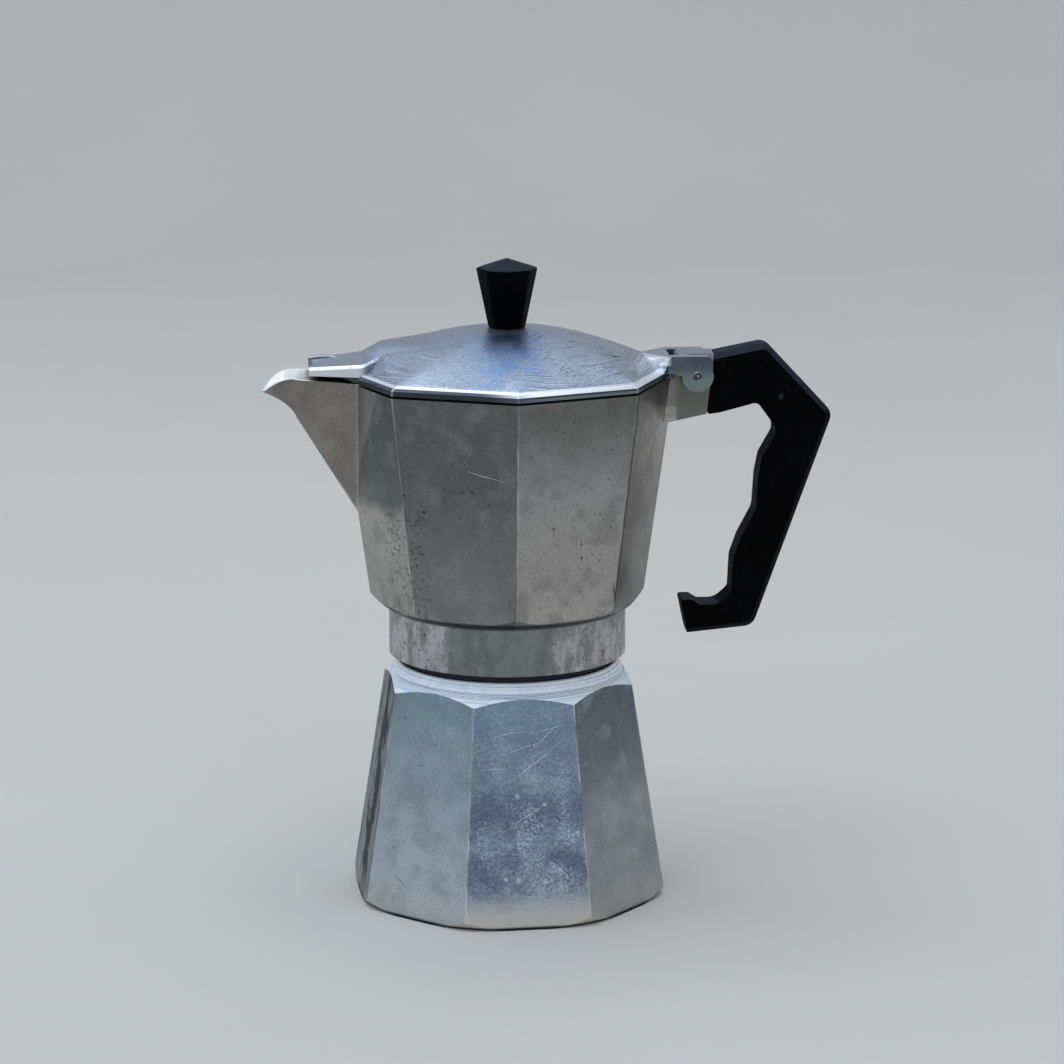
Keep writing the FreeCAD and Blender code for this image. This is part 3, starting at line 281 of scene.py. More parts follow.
def pits(place, scale, share, size):
    return use(castPits, {"Place": place, "Scale": scale, "Share": share, "Size": size})["Pit"]


def hairs(place, turn, level, fine=5000.0, long=90.0):
    turn = [math.radians(angle) for angle in turn]
    inputs = {"Place": place, "Turn": turn, "Level": level, "Fine": fine, "Long": long}
    return use(hairScratches, inputs)["Scratch"]


def rings(place, pitch, lean):
    return use(latheRings, {"Place": place, "Pitch": pitch, "Lean": lean})["Ring"]


def finish(shader, tone, roughness, height, depth):
    inputs = {"Height": height, "Distance": depth, "Strength": 1.0}
    bump = wire(shader.id_data, "ShaderNodeBump", inputs).outputs[0]
    for value, name in ((tone, "Base Color"), (roughness, "Roughness"), (bump, "Normal")):
        link(value, shader.inputs[name])


def isSide(side, number):
    return calc("COMPARE", side, float(number), 0.1)


def paintedSideLight(tone, side, height, span, ramps):
    # painted light and shade: each side of a vessel is painted lighter or darker by its own amount from
    # foot to top, standing in for what that side reflects; the sides behind share one
    tree = height.id_data
    inputs = {"Value": height, "From Min": span[0], "From Max": span[1]}
    place = wire(tree, "ShaderNodeMapRange", inputs).outputs[0]
    for number, stops in ramps.items():
        ramp = wire(tree, "ShaderNodeValToRGB", {0: place})
        elements = ramp.color_ramp.elements
        while len(elements) < len(stops):
            elements.new(0.5)
        for element, (position, colour) in zip(elements, stops):
            element.position = position
            element.color = solid(colour)
        mask = calc("LESS_THAN", side, leftRear - 0.5) if number == behindAll else isSide(side, number)
        tone = tint(mask, tone, filtered(tone, ramp.outputs[0]))
    return tone


# unevenness of an old casting: scale and detail of each pattern, where it turns dark or light, how much
castGrain = {
    "fine": (1900, 6), "fineDark": (0.52, 0.34), "fineLight": (0.52, 0.68), "fineShares": (0.42, 0.24),
    "coarse": (115, 5), "coarseDark": (0.52, 0.32), "coarseLight": (0.50, 0.70), "coarseLightShare": 0.6,
}


def speckle(place, tone, dark, light, uneven=0.0):
    look = castGrain
    fine = grain(place, *look["fine"])
    if uneven:
        coarse = grain(place, *look["coarse"])
        tone = stain(tone, dark, fade(coarse, *look["coarseDark"]), uneven)
        tone = stain(tone, light, fade(coarse, *look["coarseLight"]), look["coarseLightShare"] * uneven)
    darkShare, lightShare = look["fineShares"]
    tone = stain(tone, dark, fade(fine, *look["fineDark"]), darkShare)
    return stain(tone, light, fade(fine, *look["fineLight"]), lightShare), fine


# boiler: bluish satin casting, mottled front, bright turned shoulder whose bluish white is partly a
# painted reflection of the sky
# patterns: scale, level and softness, or share and size; spans: from nothing to full, metres or shares
boilerFinish = {
    "clean": (0.47, 0.53, 0.575), "dull": (0.40, 0.455, 0.50), "edge": (0.66, 0.72, 0.78),
    "stain": (0.09, 0.12, 0.17), "violet": (0.13, 0.16, 0.24), "neck": (0.030, 0.030, 0.038),
    "thread": (0.40, 0.41, 0.42), "lime": (0.62, 0.70, 0.78), "foot": (0.74, 0.66, 0.58),
    # shoulder and groove: the turned metal's paler colour together with a painted reflection of the sky
    "shoulder": (0.90, 0.97, 1.0), "groove": (0.60, 0.70, 0.90), "sootAndShadow": (0.022, 0.024, 0.027),
    "dark": (0.20, 0.24, 0.28), "span": (0.0, 0.0765),
    # ramps: painted light and shade, as shares of the tone on each side from foot to top
    "ramps": {
        behindAll: ((0.0, (1.0, 0.98, 0.95)), (0.4, (0.86, 0.86, 0.87)), (1.0, (0.62, 0.68, 0.70))),
        leftRear: ((0.0, (0.34, 0.35, 0.34)), (0.5, (0.22, 0.23, 0.235)), (1.0, (0.20, 0.22, 0.23))),
        leftFront: (
            (0.0, (0.9, 0.9, 0.9)), (0.06, (1.2, 1.18, 1.14)), (0.3, (1.1, 1.08, 1.08)),
            (0.62, (0.80, 0.84, 0.84)), (1.0, (0.60, 0.72, 0.73)),
        ),
        rightFront: (
            (0.0, (1.0, 1.0, 1.02)), (0.28, (0.96, 1.0, 1.06)), (0.5, (0.62, 0.67, 0.74)),
            (0.7, (0.68, 0.75, 0.82)), (1.0, (0.58, 0.70, 0.80)),
        ),
        rightRear: (
            (0.0, (0.92, 0.82, 0.74)), (0.45, (0.80, 0.73, 0.70)), (0.7, (0.42, 0.44, 0.46)),
            (1.0, (0.28, 0.31, 0.33)),
        ),
    },
    "uneven": 0.34, "edgeWidth": 0.0004, "roughLow": 0.34, "roughHigh": 0.46, "roundEdge": 0.0004,
    "drip": (1.0, 1.0, 0.1), "wander": (0.9, 0.15), "hairs": ((18, 0.30), (-4, 0.22), (41, 0.26)),
    "gouges": ((6, 0.5), (88, 0.4)),
    "patterns": {
        "cloud": (45.0, 0.5, 0.2), "broad": (85.0, 0.49, 0.12), "dark": (1050.0, 0.53, 0.06),
        "wide": (110.0, 0.53, 0.07), "lime": (1250.0, 0.53, 0.05), "splash": (230.0, 0.2, 0.32),
        "sootAndShadow": (320.0, 0.56, 0.05), "pit": (420.0, 0.14, 0.26), "ring": (0.00055, 0.0),
    },
    "spans": {
        "low": (0.060, 0.034), "aboveFoot": (0.0075, 0.0150), "limeSide": (0.1, 0.6),
        "streak": (0.2, 0.14), "sootTop": (0.079, 0.077), "foot": (0.0135, 0.0050),
        "under": (-0.25, -0.5), "standingShadow": (0.0015, 0.0006), "shoulderLean": (0.34, 0.5),
        "shoulderFoot": (0.060, 0.064), "groove": (0.36, 0.50), "neckFoot": (0.0800, 0.0806),
        "threadFoot": (0.0838, 0.0845),
    },
}


def boilerCast():
    look = boilerFinish
    patterns, spans = look["patterns"], look["spans"]
    material, shader, place = newMaterial("boilerCast", 1.0)
    corner = use(sideEdges, {"Place": place, "Turn": boilerShape["turn"], "Width": look["edgeWidth"]})
    height = axesOf(place)[2]
    lean = facingOf(shader)[2]
    front = isSide(corner["Side"], rightFront)
    cloud = clouds(place, *patterns["cloud"])
    tone = tint(cloud, look["dull"], look["clean"])
    # painted light and shade, side by side
    tone = paintedSideLight(tone, corner["Side"], height, look["span"], look["ramps"])
    tone, fine = speckle(place, tone, look["dark"], look["lime"], look["uneven"])
    across = corner["Across"]
    low = fade(height, *spans["low"])
    spoiled = times(front, fade(height, *spans["aboveFoot"]))  # cleaner just above the foot
    broad = clouds(place, *patterns["broad"])
    tone = stain(tone, look["violet"], broad, spoiled, mixValue(low, 0.3, 0.8))
    dark = clouds(place, *patterns["dark"])
    tone = stain(tone, look["stain"], dark, spoiled, mixValue(low, 0.25, 0.55))
    wide = clouds(place, *patterns["wide"])
    lime = clouds(place, *patterns["lime"])
    towardsRight = mixValue(fade(across, *spans["limeSide"]), 0.55, 1.0)
    tone = stain(tone, look["lime"], lime, spoiled, mixValue(wide, 0.10, 1.0), mixValue(low, 0.25, 0.75),
                 towardsRight)
    splash = pits(place, *patterns["splash"])
    tone = stain(tone, look["edge"], splash, spoiled, low, 0.8)
    for turn, share in look["hairs"]:
        scratch = hairs(place, (0, turn, 0), 0.6)
        tone = stain(tone, look["lime"], scratch, mixValue(front, 0.6 * share, share))
    for turn, share in look["gouges"]:
        scratch = hairs(place, (0, turn, 0), 0.61, fine=2600.0, long=130.0)
        tone = stain(tone, look["stain"], scratch, front, share)
    drip = mapped(place, look["drip"])
    sootAndShadow = clouds(drip, *patterns["sootAndShadow"])
    left = isSide(corner["Side"], leftRear)
    wander = calc("MULTIPLY_ADD", grain(place, 75, 6), *look["wander"])
    streak = fade(calc("ABSOLUTE", calc("SUBTRACT", across, wander)), *spans["streak"])
    soot = times(calc("MAXIMUM", streak, times(sootAndShadow, 0.6)), left, fade(height, *spans["sootTop"]))
    tone = stain(tone, look["sootAndShadow"], soot, 0.95)
    pit = pits(place, *patterns["pit"])
    tone = stain(tone, look["stain"], pit, 0.55)
    # corner lines: partly real wear, partly a painted highlight
    tone = stain(tone, look["edge"], corner["Edge"], 0.8)
    foot = fade(calc("ADD", height, times(grain(place, 120, 3), 0.003)), *spans["foot"])
    tone = stain(tone, look["foot"], foot, mixValue(front, 0.2, 0.75))
    # painted light: the undercut that faces the floor is painted in the pale foot colour
    under = fade(lean, *spans["under"])
    tone = stain(tone, look["foot"], under, 0.9)
    tone = tint(fade(height, *spans["standingShadow"]), tone, look["sootAndShadow"])  # painted contact shadow: a dark line where it stands
    ring = rings(place, *patterns["ring"])
    # turned shoulder: paler metal with a painted sky reflection, darker in the grooves
    shoulder = times(fade(lean, *spans["shoulderLean"]), fade(height, *spans["shoulderFoot"]))
    ringToneAndSheen = tint(fade(ring, *spans["groove"]), look["groove"], look["shoulder"])
    tone = tint(shoulder, tone, ringToneAndSheen)
    tone = tint(fade(height, *spans["neckFoot"]), tone, look["neck"])  # painted shade in the gap under the skirt
    tone = stain(tone, look["thread"], fade(height, *spans["threadFoot"]), 0.9)
    bare = calc("MAXIMUM", times(shoulder, 0.9), times(under, 0.7))
    bare = calc("MAXIMUM", bare, soot)
    link(inverse(bare), shader.inputs["Metallic"])
    rough = calc("ADD", mixValue(cloud, look["roughHigh"], look["roughLow"]), times(soot, 0.5))
    surface = calc("ADD", times(fine, 0.25), times(ring, shoulder, 0.6))
    surface = calc("SUBTRACT", surface, times(pit, 0.6))
    finish(shader, tone, rough, surface, 0.00012)
    return material


# collector: warmer grey casting with small dark pits, stained band with a painted darker reflection in
# its front middle
collectorFinish = {
    "clean": (0.42, 0.41, 0.40), "dull": (0.35, 0.345, 0.335), "edge": (0.62, 0.61, 0.59),
    "dark": (0.16, 0.155, 0.15), "pit": (0.035, 0.034, 0.032), "light": (0.60, 0.585, 0.57),
    "green": (0.15, 0.17, 0.165), "line": (0.012, 0.012, 0.011), "coffee": (0.16, 0.10, 0.06),
    "bandLow": (0.27, 0.265, 0.26), "bandHigh": (0.53, 0.525, 0.54), "litStrip": (0.27, 0.265, 0.26),
    "lug": (0.165, 0.165, 0.14), "knuckle": (0.30, 0.335, 0.39), "spoutLow": (0.22, 0.19, 0.165),
    "spoutHigh": (0.34, 0.30, 0.265), "pourHighlight": (0.97, 0.96, 0.95), "span": (0.100, 0.177),
    # ramps: painted light and shade, as shares of the tone on each side from foot to top
    "ramps": {
        behindAll: ((0.0, (0.90, 0.88, 0.87)), (0.5, (0.72, 0.71, 0.70)), (1.0, (0.46, 0.46, 0.455))),
        leftRear: (
            (0.0, (0.98, 0.96, 0.94)), (0.45, (1.12, 1.10, 1.07)), (0.53, (0.38, 0.44, 0.42)),
            (1.0, (0.20, 0.25, 0.235)),
        ),
        leftFront: (
            (0.0, (0.66, 0.66, 0.66)), (0.3, (0.56, 0.56, 0.57)), (0.52, (0.43, 0.43, 0.44)),
            (0.62, (0.40, 0.40, 0.405)), (1.0, (0.34, 0.34, 0.345)),
        ),
        rightFront: (
            (0.0, (1.2, 1.15, 1.12)), (0.3, (1.1, 1.06, 1.04)), (0.6, (1.0, 0.99, 0.99)),
            (0.8, (0.62, 0.62, 0.615)), (1.0, (0.42, 0.42, 0.41)),
        ),
        rightRear: (
            (0.0, (0.68, 0.66, 0.64)), (0.5, (0.86, 0.80, 0.75)), (0.85, (1.35, 1.31, 1.22)),
            (1.0, (0.7, 0.7, 0.66)),
        ),
    },
    "uneven": 0.36, "edgeWidth": 0.00036, "roughLow": 0.36, "roughHigh": 0.47, "roundEdge": 0.0004,
    "wallFoot": 0.104, "wallLean": 0.127, "wallRadius": 0.0415, "drift": 0.024,
    "stripLine": (20.0, -2.79), "shadeLine": (0.0095, 0.1755), "hairs": ((-8, 0.2), (74, 0.14)),
    "patterns": {
        "cloud": (32.0, 0.5, 0.22), "mottle": (520.0, 0.5, 0.1), "pit": (330.0, 0.3, 0.3),
        "speck": (800.0, 0.4, 0.32), "patch": (40.0, 0.52, 0.1), "scab": (640.0, 0.58, 0.05),
        "drip": (210, 6, (1, 1, 0.45)), "streak": (420, 3, (1, 1, 0.06)), "crack": (480.0, 0.57, 0.05),
        "film": (70.0, 0.47, 0.14), "ring": (0.0004, 1.0),
    },
    "spans": {
        "floor": (0.1030, 0.1036), "litStrip": (0.03, -0.03), "shade": (-0.0006, 0.0006),
        "rearShadowLine": (0.07, 0.03), "spout": (-0.0501, -0.0505), "creaseNear": (-0.0499, -0.0502),
        "creaseFar": (-0.0508, -0.0505), "scabLeft": (0.35, 0.7), "scabRight": (0.24, 0.06),
        "scabTop": (0.143, 0.134), "behind": (0.0555, 0.0575), "knuckleFoot": (0.1770, 0.1776),
        "channel": (0.05, 0.3), "deep": (-0.068, -0.062), "band": (0.0998, 0.0992), "drip": (0.36, 0.66),
        "middleLeft": (-0.0235, -0.0205), "middleRight": (0.016, 0.009), "middleFront": (0.01, -0.01),
        "streak": (0.6, 0.72), "bandGrain": (0.54, 0.66), "seamFoot": (0.0996, 0.1002),
        "seamTop": (0.1022, 0.1014), "film": (0.170, 0.120),
    },
}


def collectorCast():
    look = collectorFinish
    patterns, spans = look["patterns"], look["spans"]
    material, shader, place = newMaterial("collectorCast", 1.0)
    corner = use(sideEdges, {"Place": place, "Turn": collectorShape["turn"], "Width": look["edgeWidth"]})
    axes = axesOf(place)
    height = axes[2]
    reach = length(axes[0], axes[1])
    above = calc("SUBTRACT", height, look["wallFoot"])
    wall = calc("MULTIPLY_ADD", above, look["wallLean"], look["wallRadius"])
    inside = times(calc("LESS_THAN", reach, wall), fade(height, *spans["floor"]))
    side = calc("MAXIMUM", corner["Side"], times(inside, 9.0))  # nine: no outer side
    cloud = clouds(place, *patterns["cloud"])
    tone = tint(cloud, look["dull"], look["clean"])
    settled = calc("SUBTRACT", height, look["drift"] / 2)
    drift = calc("MULTIPLY_ADD", grain(place, 38, 3), look["drift"], settled)
    # painted light and shade, side by side
    tone = paintedSideLight(tone, side, drift, look["span"], look["ramps"])
    across = corner["Across"]
    leftSide, rightSide = isSide(side, leftRear), isSide(side, rightRear)
    # painted light: a paler strip beside the spout, wide at the rim, cut by a diagonal out of the painted
    # dark reflection at the top of this side
    bound = calc("MULTIPLY_ADD", height, *look["stripLine"])
    litStrip = times(leftSide, fade(calc("SUBTRACT", across, bound), *spans["litStrip"]))
    tone = stain(tone, look["litStrip"], litStrip, 0.8)
    mottle = clouds(place, *patterns["mottle"])
    tone = stain(tone, look["dark"], mottle, rightSide, 0.4)
    # painted shade under the rim and a painted shadow line, in the pit colour, along the corner of the
    # right rear side
    slope, level = look["shadeLine"]
    shade = calc("MULTIPLY_ADD", across, slope, calc("SUBTRACT", height, level))
    tone = stain(tone, look["dark"], rightSide, fade(shade, *spans["shade"]), 0.7)
    tone = stain(tone, look["pit"], rightSide, fade(across, *spans["rearShadowLine"]), 0.6)
    spout = fade(axes[0], *spans["spout"])
    spoutTone = tint(cloud, look["spoutLow"], look["spoutHigh"])
    tone = stain(tone, spoutTone, spout, 0.85)
    # painted highlight along the crease where the spout leaves the body
    creaseHighlight = times(fade(axes[0], *spans["creaseNear"]), fade(axes[0], *spans["creaseFar"]))
    tone = stain(tone, look["light"], creaseHighlight, 0.6)
    tone, fine = speckle(place, tone, look["dark"], look["clean"], look["uneven"])
    pit = pits(place, *patterns["pit"])
    speck = pits(place, *patterns["speck"])
    patch = clouds(place, *patterns["patch"])
    spots = times(calc("MAXIMUM", pit, speck), mixValue(patch, 0.15, 0.8))
    tone = tint(spots, tone, look["pit"])
    scabLeft = times(leftSide, fade(across, *spans["scabLeft"]))
    scabRight = times(isSide(side, leftFront), fade(across, *spans["scabRight"]))
    beside = calc("MAXIMUM", scabLeft, scabRight)
    scab = clouds(place, *patterns["scab"])
    tone = stain(tone, look["pit"], scab, beside, fade(height, *spans["scabTop"]), 0.7)
    for turn, share in look["hairs"]:
        scratch = hairs(place, (0, turn, 0), 0.62)
        tone = stain(tone, look["light"], scratch, share)
    outside = inverse(inside)
    # corner lines: partly real wear, partly a painted highlight
    tone = stain(tone, look["edge"], corner["Edge"], outside, 0.55)
    behind = fade(axes[0], *spans["behind"])
    tone = stain(tone, look["lug"], behind, 0.88)
    tone = stain(tone, look["knuckle"], behind, fade(height, *spans["knuckleFoot"]), 0.9)
    facing = facingOf(shader)
    channel = times(spout, fade(facing[2], *spans["channel"]))
    deep = fade(axes[0], *spans["deep"])  # painted shade under the cover, painted light at the lip
    pourHighlight = times(channel, inverse(deep))
    # painted light: the inner wall near the lip, painted near white and made less metallic
    tone = tint(pourHighlight, tone, look["pourHighlight"])
    # painted shade under the cover, in the pit colour
    tone = stain(tone, look["pit"], channel, deep, 0.85)
    link(mixValue(pourHighlight, 1.0, 0.1), shader.inputs["Metallic"])
    band = fade(height, *spans["band"])  # turned skirt under the sides
    drip = grain(place, *patterns["drip"])
    bandTone = tint(fade(drip, *spans["drip"]), look["bandLow"], look["bandHigh"])
    # painted reflection: the front middle of the band is painted darker green-grey
    middle = times(fade(axes[0], *spans["middleLeft"]), fade(axes[0], *spans["middleRight"]),
                   fade(axes[1], *spans["middleFront"]))
    bandTone = stain(bandTone, look["green"], middle, 0.72)
    streak = grain(place, *patterns["streak"])
    bandTone = stain(bandTone, look["dark"], fade(streak, *spans["streak"]), 0.55)
    crack = clouds(place, *patterns["crack"])
    rest = mixValue(middle, 0.6, 0.2)
    bandTone = stain(bandTone, look["dark"], crack, rest)
    bandTone = stain(bandTone, look["light"], fade(fine, *spans["bandGrain"]), rest)
    bandTone = stain(bandTone, look["pit"], spots, 0.8)
    tone = tint(band, tone, bandTone)
    seam = times(fade(height, *spans["seamFoot"]), fade(height, *spans["seamTop"]))
    tone = stain(tone, look["line"], seam, 0.8)
    # brown film inside, on walls and column
    film = clouds(place, *patterns["film"])
    tone = stain(tone, look["coffee"], inside, film, fade(height, *spans["film"]), 0.7)
    ring = rings(place, *patterns["ring"])
    rough = mixValue(cloud, look["roughHigh"], look["roughLow"])
    surface = calc("ADD", times(fine, 0.3), times(ring, band, 0.3))
    surface = calc("SUBTRACT", surface, times(spots, 0.7))
    finish(shader, tone, rough, surface, 0.00013)
    return material


# lid: blue-grey satin, rubbed in circles, with painted light: a bright rim, a blue sky reflection in
# front of the knob, highlights on the cover and ears, and shade on its upright faces
lidFinish = {
    "clean": (0.37, 0.425, 0.52), "dull": (0.29, 0.335, 0.43), "blue": (0.16, 0.30, 0.58),
    "dark": (0.15, 0.17, 0.21), "edge": (0.86, 0.89, 0.92), "mark": (0.12, 0.14, 0.18),
    "side": (0.20, 0.225, 0.245), "ear": (0.075, 0.10, 0.135), "earLow": (0.22, 0.28, 0.27),
    "gapShadow": (0.035, 0.04, 0.05), "edgeWidth": 0.0005, "roughLow": 0.32, "roughHigh": 0.44,
    "roundEdge": 0.0003, "rubTurns": (-34, -52),
    "patterns": {
        "cloud": (55.0, 0.5, 0.16), "ring": (0.0005, 0.0), "rubbed": (75.0, 0.55, 0.06),
        "pit": (420.0, 0.25, 0.3), "patina": (330.0, 0.52, 0.14),
    },
    "spans": {
        "palerRight": (0.0, 0.02), "palerCover": (-0.046, -0.050), "blueKnob": (-0.006, -0.016),
        "blueRim": (-0.057, -0.042), "blueLeft": (-0.020, -0.003), "blueRight": (0.015, 0.003),
        "torn": (0.3, 0.6), "ringDark": (0.57, 0.63), "ringBright": (0.40, 0.34),
        "scratched": (0.0, 0.012), "upright": (0.35, 0.1), "cover": (-0.047, -0.050),
        "prongFoot": (0.1795, 0.1798), "nearSide": (0.0, -0.004), "coverLean": (0.3, 0.45),
        "coverFlat": (0.97, 0.9), "earLow": (0.1825, 0.1765), "ear": (0.048, 0.054),
        "lip": (0.0530, 0.0545), "lipLean": (0.15, 0.4), "lipFlat": (0.99, 0.93), "bevelLean": (0.5, 0.6),
        "bevelTop": (0.1808, 0.1804), "rightHalf": (-0.012, 0.012), "skirt": (0.1797, 0.1794),
        "skirtEnd": (0.0500, 0.0480), "skirtTop": (0.1786, 0.1789), "rimFoot": (0.18015, 0.1803),
        "rimTop": (0.1811, 0.1808), "rimEnd": (0.0535, 0.0525), "rimLean": (0.1, 0.3),
        "cornerTop": (0.1822, 0.1808), "flankFoot": (0.0405, 0.0425), "flankEnd": (0.0545, 0.0530),
        "flankLow": (0.1815, 0.1822), "flankLean": (0.93, 0.85), "ringLean": (0.3, 0.6),
    },
}


def lidCast():
    look = lidFinish
    patterns, spans = look["patterns"], look["spans"]
    material, shader, place = newMaterial("lidCast", 1.0)
    axes = axesOf(place)
    lean = facingOf(shader)[2]
    cloud = clouds(place, *patterns["cloud"])
    tone = tint(cloud, look["dull"], look["clean"])
    paler = calc("MAXIMUM", fade(axes[0], *spans["palerRight"]), fade(axes[0], *spans["palerCover"]))
    tone = stain(tone, look["edge"], paler, 0.07)
    # painted reflection of the sky: a blue patch in front of the knob
    below = times(fade(axes[1], *spans["blueKnob"]), fade(axes[1], *spans["blueRim"]),
                  fade(axes[0], *spans["blueLeft"]), fade(axes[0], *spans["blueRight"]))
    torn = fade(grain(place, 160, 5), *spans["torn"])
    tone = stain(tone, look["blue"], below, torn, 0.85)
    tone, fine = speckle(place, tone, look["dark"], look["edge"])
    ring = rings(place, *patterns["ring"])
    rubbed = clouds(place, *patterns["rubbed"])
    tone = stain(tone, look["mark"], fade(ring, *spans["ringDark"]), rubbed, 0.6)
    tone = stain(tone, look["edge"], fade(ring, *spans["ringBright"]), rubbed, 0.35)
    pit = pits(place, *patterns["pit"])
    tone = stain(tone, look["mark"], pit, 0.75)
    for turn in look["rubTurns"]:
        scratch = hairs(place, (0, 0, turn), 0.58, fine=1500.0, long=190.0)
        tone = stain(tone, look["mark"], scratch, fade(axes[0], *spans["scratched"]), 0.65)
    upright = fade(lean, *spans["upright"])
    # painted shade: the lid's upright faces are painted darker than its top
    tone = stain(tone, look["side"], upright, 0.85)
    # painted highlights on the near side of the cover's prong and on the cover's edge
    prongHighlight = times(upright, fade(axes[0], *spans["cover"]), fade(axes[2], *spans["prongFoot"]),
                  fade(axes[1], *spans["nearSide"]))
    tone = stain(tone, look["edge"], prongHighlight, 0.9)
    coverHighlight = times(fade(axes[0], *spans["cover"]), fade(lean, *spans["coverLean"]),
                      fade(lean, *spans["coverFlat"]))
    tone = stain(tone, look["edge"], coverHighlight, 0.75)
    patina = clouds(place, *patterns["patina"])
    earShare = calc("MAXIMUM", fade(axes[2], *spans["earLow"]), times(patina, 0.35))
    earTone = tint(earShare, look["ear"], look["earLow"])
    tone = stain(tone, earTone, upright, fade(axes[0], *spans["ear"]), 0.9)
    # painted highlight along the top edge of the ears
    lip = times(fade(axes[0], *spans["lip"]), fade(lean, *spans["lipLean"]),
                fade(lean, *spans["lipFlat"]))
    tone = stain(tone, look["edge"], lip, 0.85)
    corner = use(sideEdges, {"Place": place, "Turn": 0.0, "Width": look["edgeWidth"]})
    bevel = times(fade(lean, *spans["bevelLean"]), fade(axes[2], *spans["bevelTop"]))
    rightHalf = fade(axes[0], *spans["rightHalf"])
    # painted shade on the rim bevel of the left half
    tone = stain(tone, look["gapShadow"], bevel, mixValue(rightHalf, 0.85, 0.0))
    skirt = times(upright, fade(axes[2], *spans["skirt"]), fade(axes[0], *spans["skirtEnd"]))
    skirtTop = times(skirt, fade(axes[2], *spans["skirtTop"]))
    # painted shade on the skirt: its lower part on the left, a line near its top on the right
    tone = stain(tone, look["gapShadow"], skirt, mixValue(rightHalf, 0.9, 0.0))
    tone = stain(tone, look["gapShadow"], skirtTop, mixValue(rightHalf, 0.0, 0.8))
    # painted highlight on the rim bevel of the right half
    tone = stain(tone, look["edge"], bevel, mixValue(rightHalf, 0.0, 0.85))
    # painted highlight: a bright line round the top of the rim
    rim = times(fade(axes[2], *spans["rimFoot"]), fade(axes[2], *spans["rimTop"]))
    tone = stain(tone, look["edge"], rim, fade(axes[0], *spans["rimEnd"]), fade(lean, *spans["rimLean"]),
                 0.8)
    # corner lines near the top: partly real wear, partly a painted highlight
    tone = stain(tone, look["edge"], corner["Edge"], fade(axes[2], *spans["cornerTop"]), 0.5)
    # painted highlight on the flanks of the raised wedge by the ears
    flank = times(fade(axes[0], *spans["flankFoot"]), fade(axes[0], *spans["flankEnd"]),
                  fade(axes[2], *spans["flankLow"]), fade(lean, *spans["flankLean"]))
    tone = stain(tone, look["edge"], flank, 0.8)
    rough = mixValue(cloud, look["roughHigh"], look["roughLow"])
    surface = calc("ADD", times(fine, 0.25), times(ring, fade(lean, *spans["ringLean"]), 0.2))
    surface = calc("SUBTRACT", surface, times(pit, 0.6))
    finish(shader, tone, rough, surface, 0.0001)
    return material


# plain worn metals for the small parts
smallMetals = {
    "spunAluminium": {
        "low": (0.55, 0.56, 0.57), "high": (0.74, 0.75, 0.76), "mark": (0.30, 0.25, 0.20),
        "rough": (0.28, 0.44), "pitch": 0.0005,
    },
    "wornSteel": {
        "low": (0.36, 0.37, 0.38), "high": (0.60, 0.61, 0.62), "mark": (0.12, 0.10, 0.085),
        "rough": (0.26, 0.42), "pitch": 0.0003,
    },
    "peenedPin": {
        "low": (0.015, 0.015, 0.016), "high": (0.08, 0.08, 0.085), "mark": (0.006, 0.006, 0.006),
        "rough": (0.30, 0.45), "pitch": 0.0003,
    },
    # turned beads: the metal's paler colour together with a painted reflection of the sky
    "turnedBead": {
        "low": (0.80, 0.88, 0.98), "high": (0.92, 0.97, 1.0), "mark": (0.66, 0.75, 0.90),
        "rough": (0.26, 0.40), "pitch": 0.0004, "metal": 0.2,
    },
    "valveBrass": {
        "low": (0.52, 0.36, 0.13), "high": (0.74, 0.55, 0.24), "mark": (0.16, 0.11, 0.06),
        "rough": (0.24, 0.42), "pitch": 0.0003,
    },
}


def smallMetal(name):
    look = smallMetals[name]
    material, shader, place = newMaterial(name, look.get("metal", 1.0))
    cloud = clouds(place, 180.0, 0.5, 0.15)
    tone = tint(cloud, look["low"], look["high"])
    mark = clouds(place, 420.0, 0.6, 0.05)
    tone = stain(tone, look["mark"], mark, 0.6)
    ring = rings(place, look["pitch"], 1.0)
    rough = mixValue(cloud, look["rough"][1], look["rough"][0])
    finish(shader, tone, rough, ring, 0.00003)
    return material


pinFinish = {"head": (0.20, 0.23, 0.23), "worn": (0.52, 0.57, 0.58), "groove": (0.015, 0.018, 0.02),
             "ring": (0.0006, 0.0012), "soft": 0.0002}


def pinEnds():
    # the peening tool has left a round groove in each end of the hinge pin; its darkness is painted shade
    look = pinFinish
    material, shader, place = newMaterial("pinEnds", 1.0)
    low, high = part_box("hinge_pin")
    axes = axesOf(place)
    aside = calc("SUBTRACT", axes[0], (low[0] + high[0]) / 2)
    above = calc("SUBTRACT", axes[2], (low[2] + high[2]) / 2)
    reach = length(aside, above)
    inner, outer = look["ring"]
    groove = times(fade(reach, inner - look["soft"], inner), fade(reach, outer + look["soft"], outer))
    cloud = clouds(place, 700.0, 0.5, 0.12)
    tone = stain(tint(cloud, look["head"], look["worn"]), look["groove"], groove, 0.85)
    finish(shader, tone, mixValue(cloud, 0.3, 0.45), inverse(groove), 0.0002)
    return material


plasticFinish = {
    "body": (0.0006, 0.0006, 0.0008), "rubbed": (0.0020, 0.0020, 0.0025), "dust": (0.02, 0.02, 0.02),
    "skySheen": (0.026, 0.029, 0.042), "roughLow": 0.28, "roughHigh": 0.42,
    "patterns": {"cloud": (55.0, 0.52, 0.18), "dust": (700.0, 0.08, 0.25)},
    "spans": {"sheenTop": (0.12, 0.7), "sheenFront": (-0.5, -0.3), "handled": (0.6, 0.3)},
}


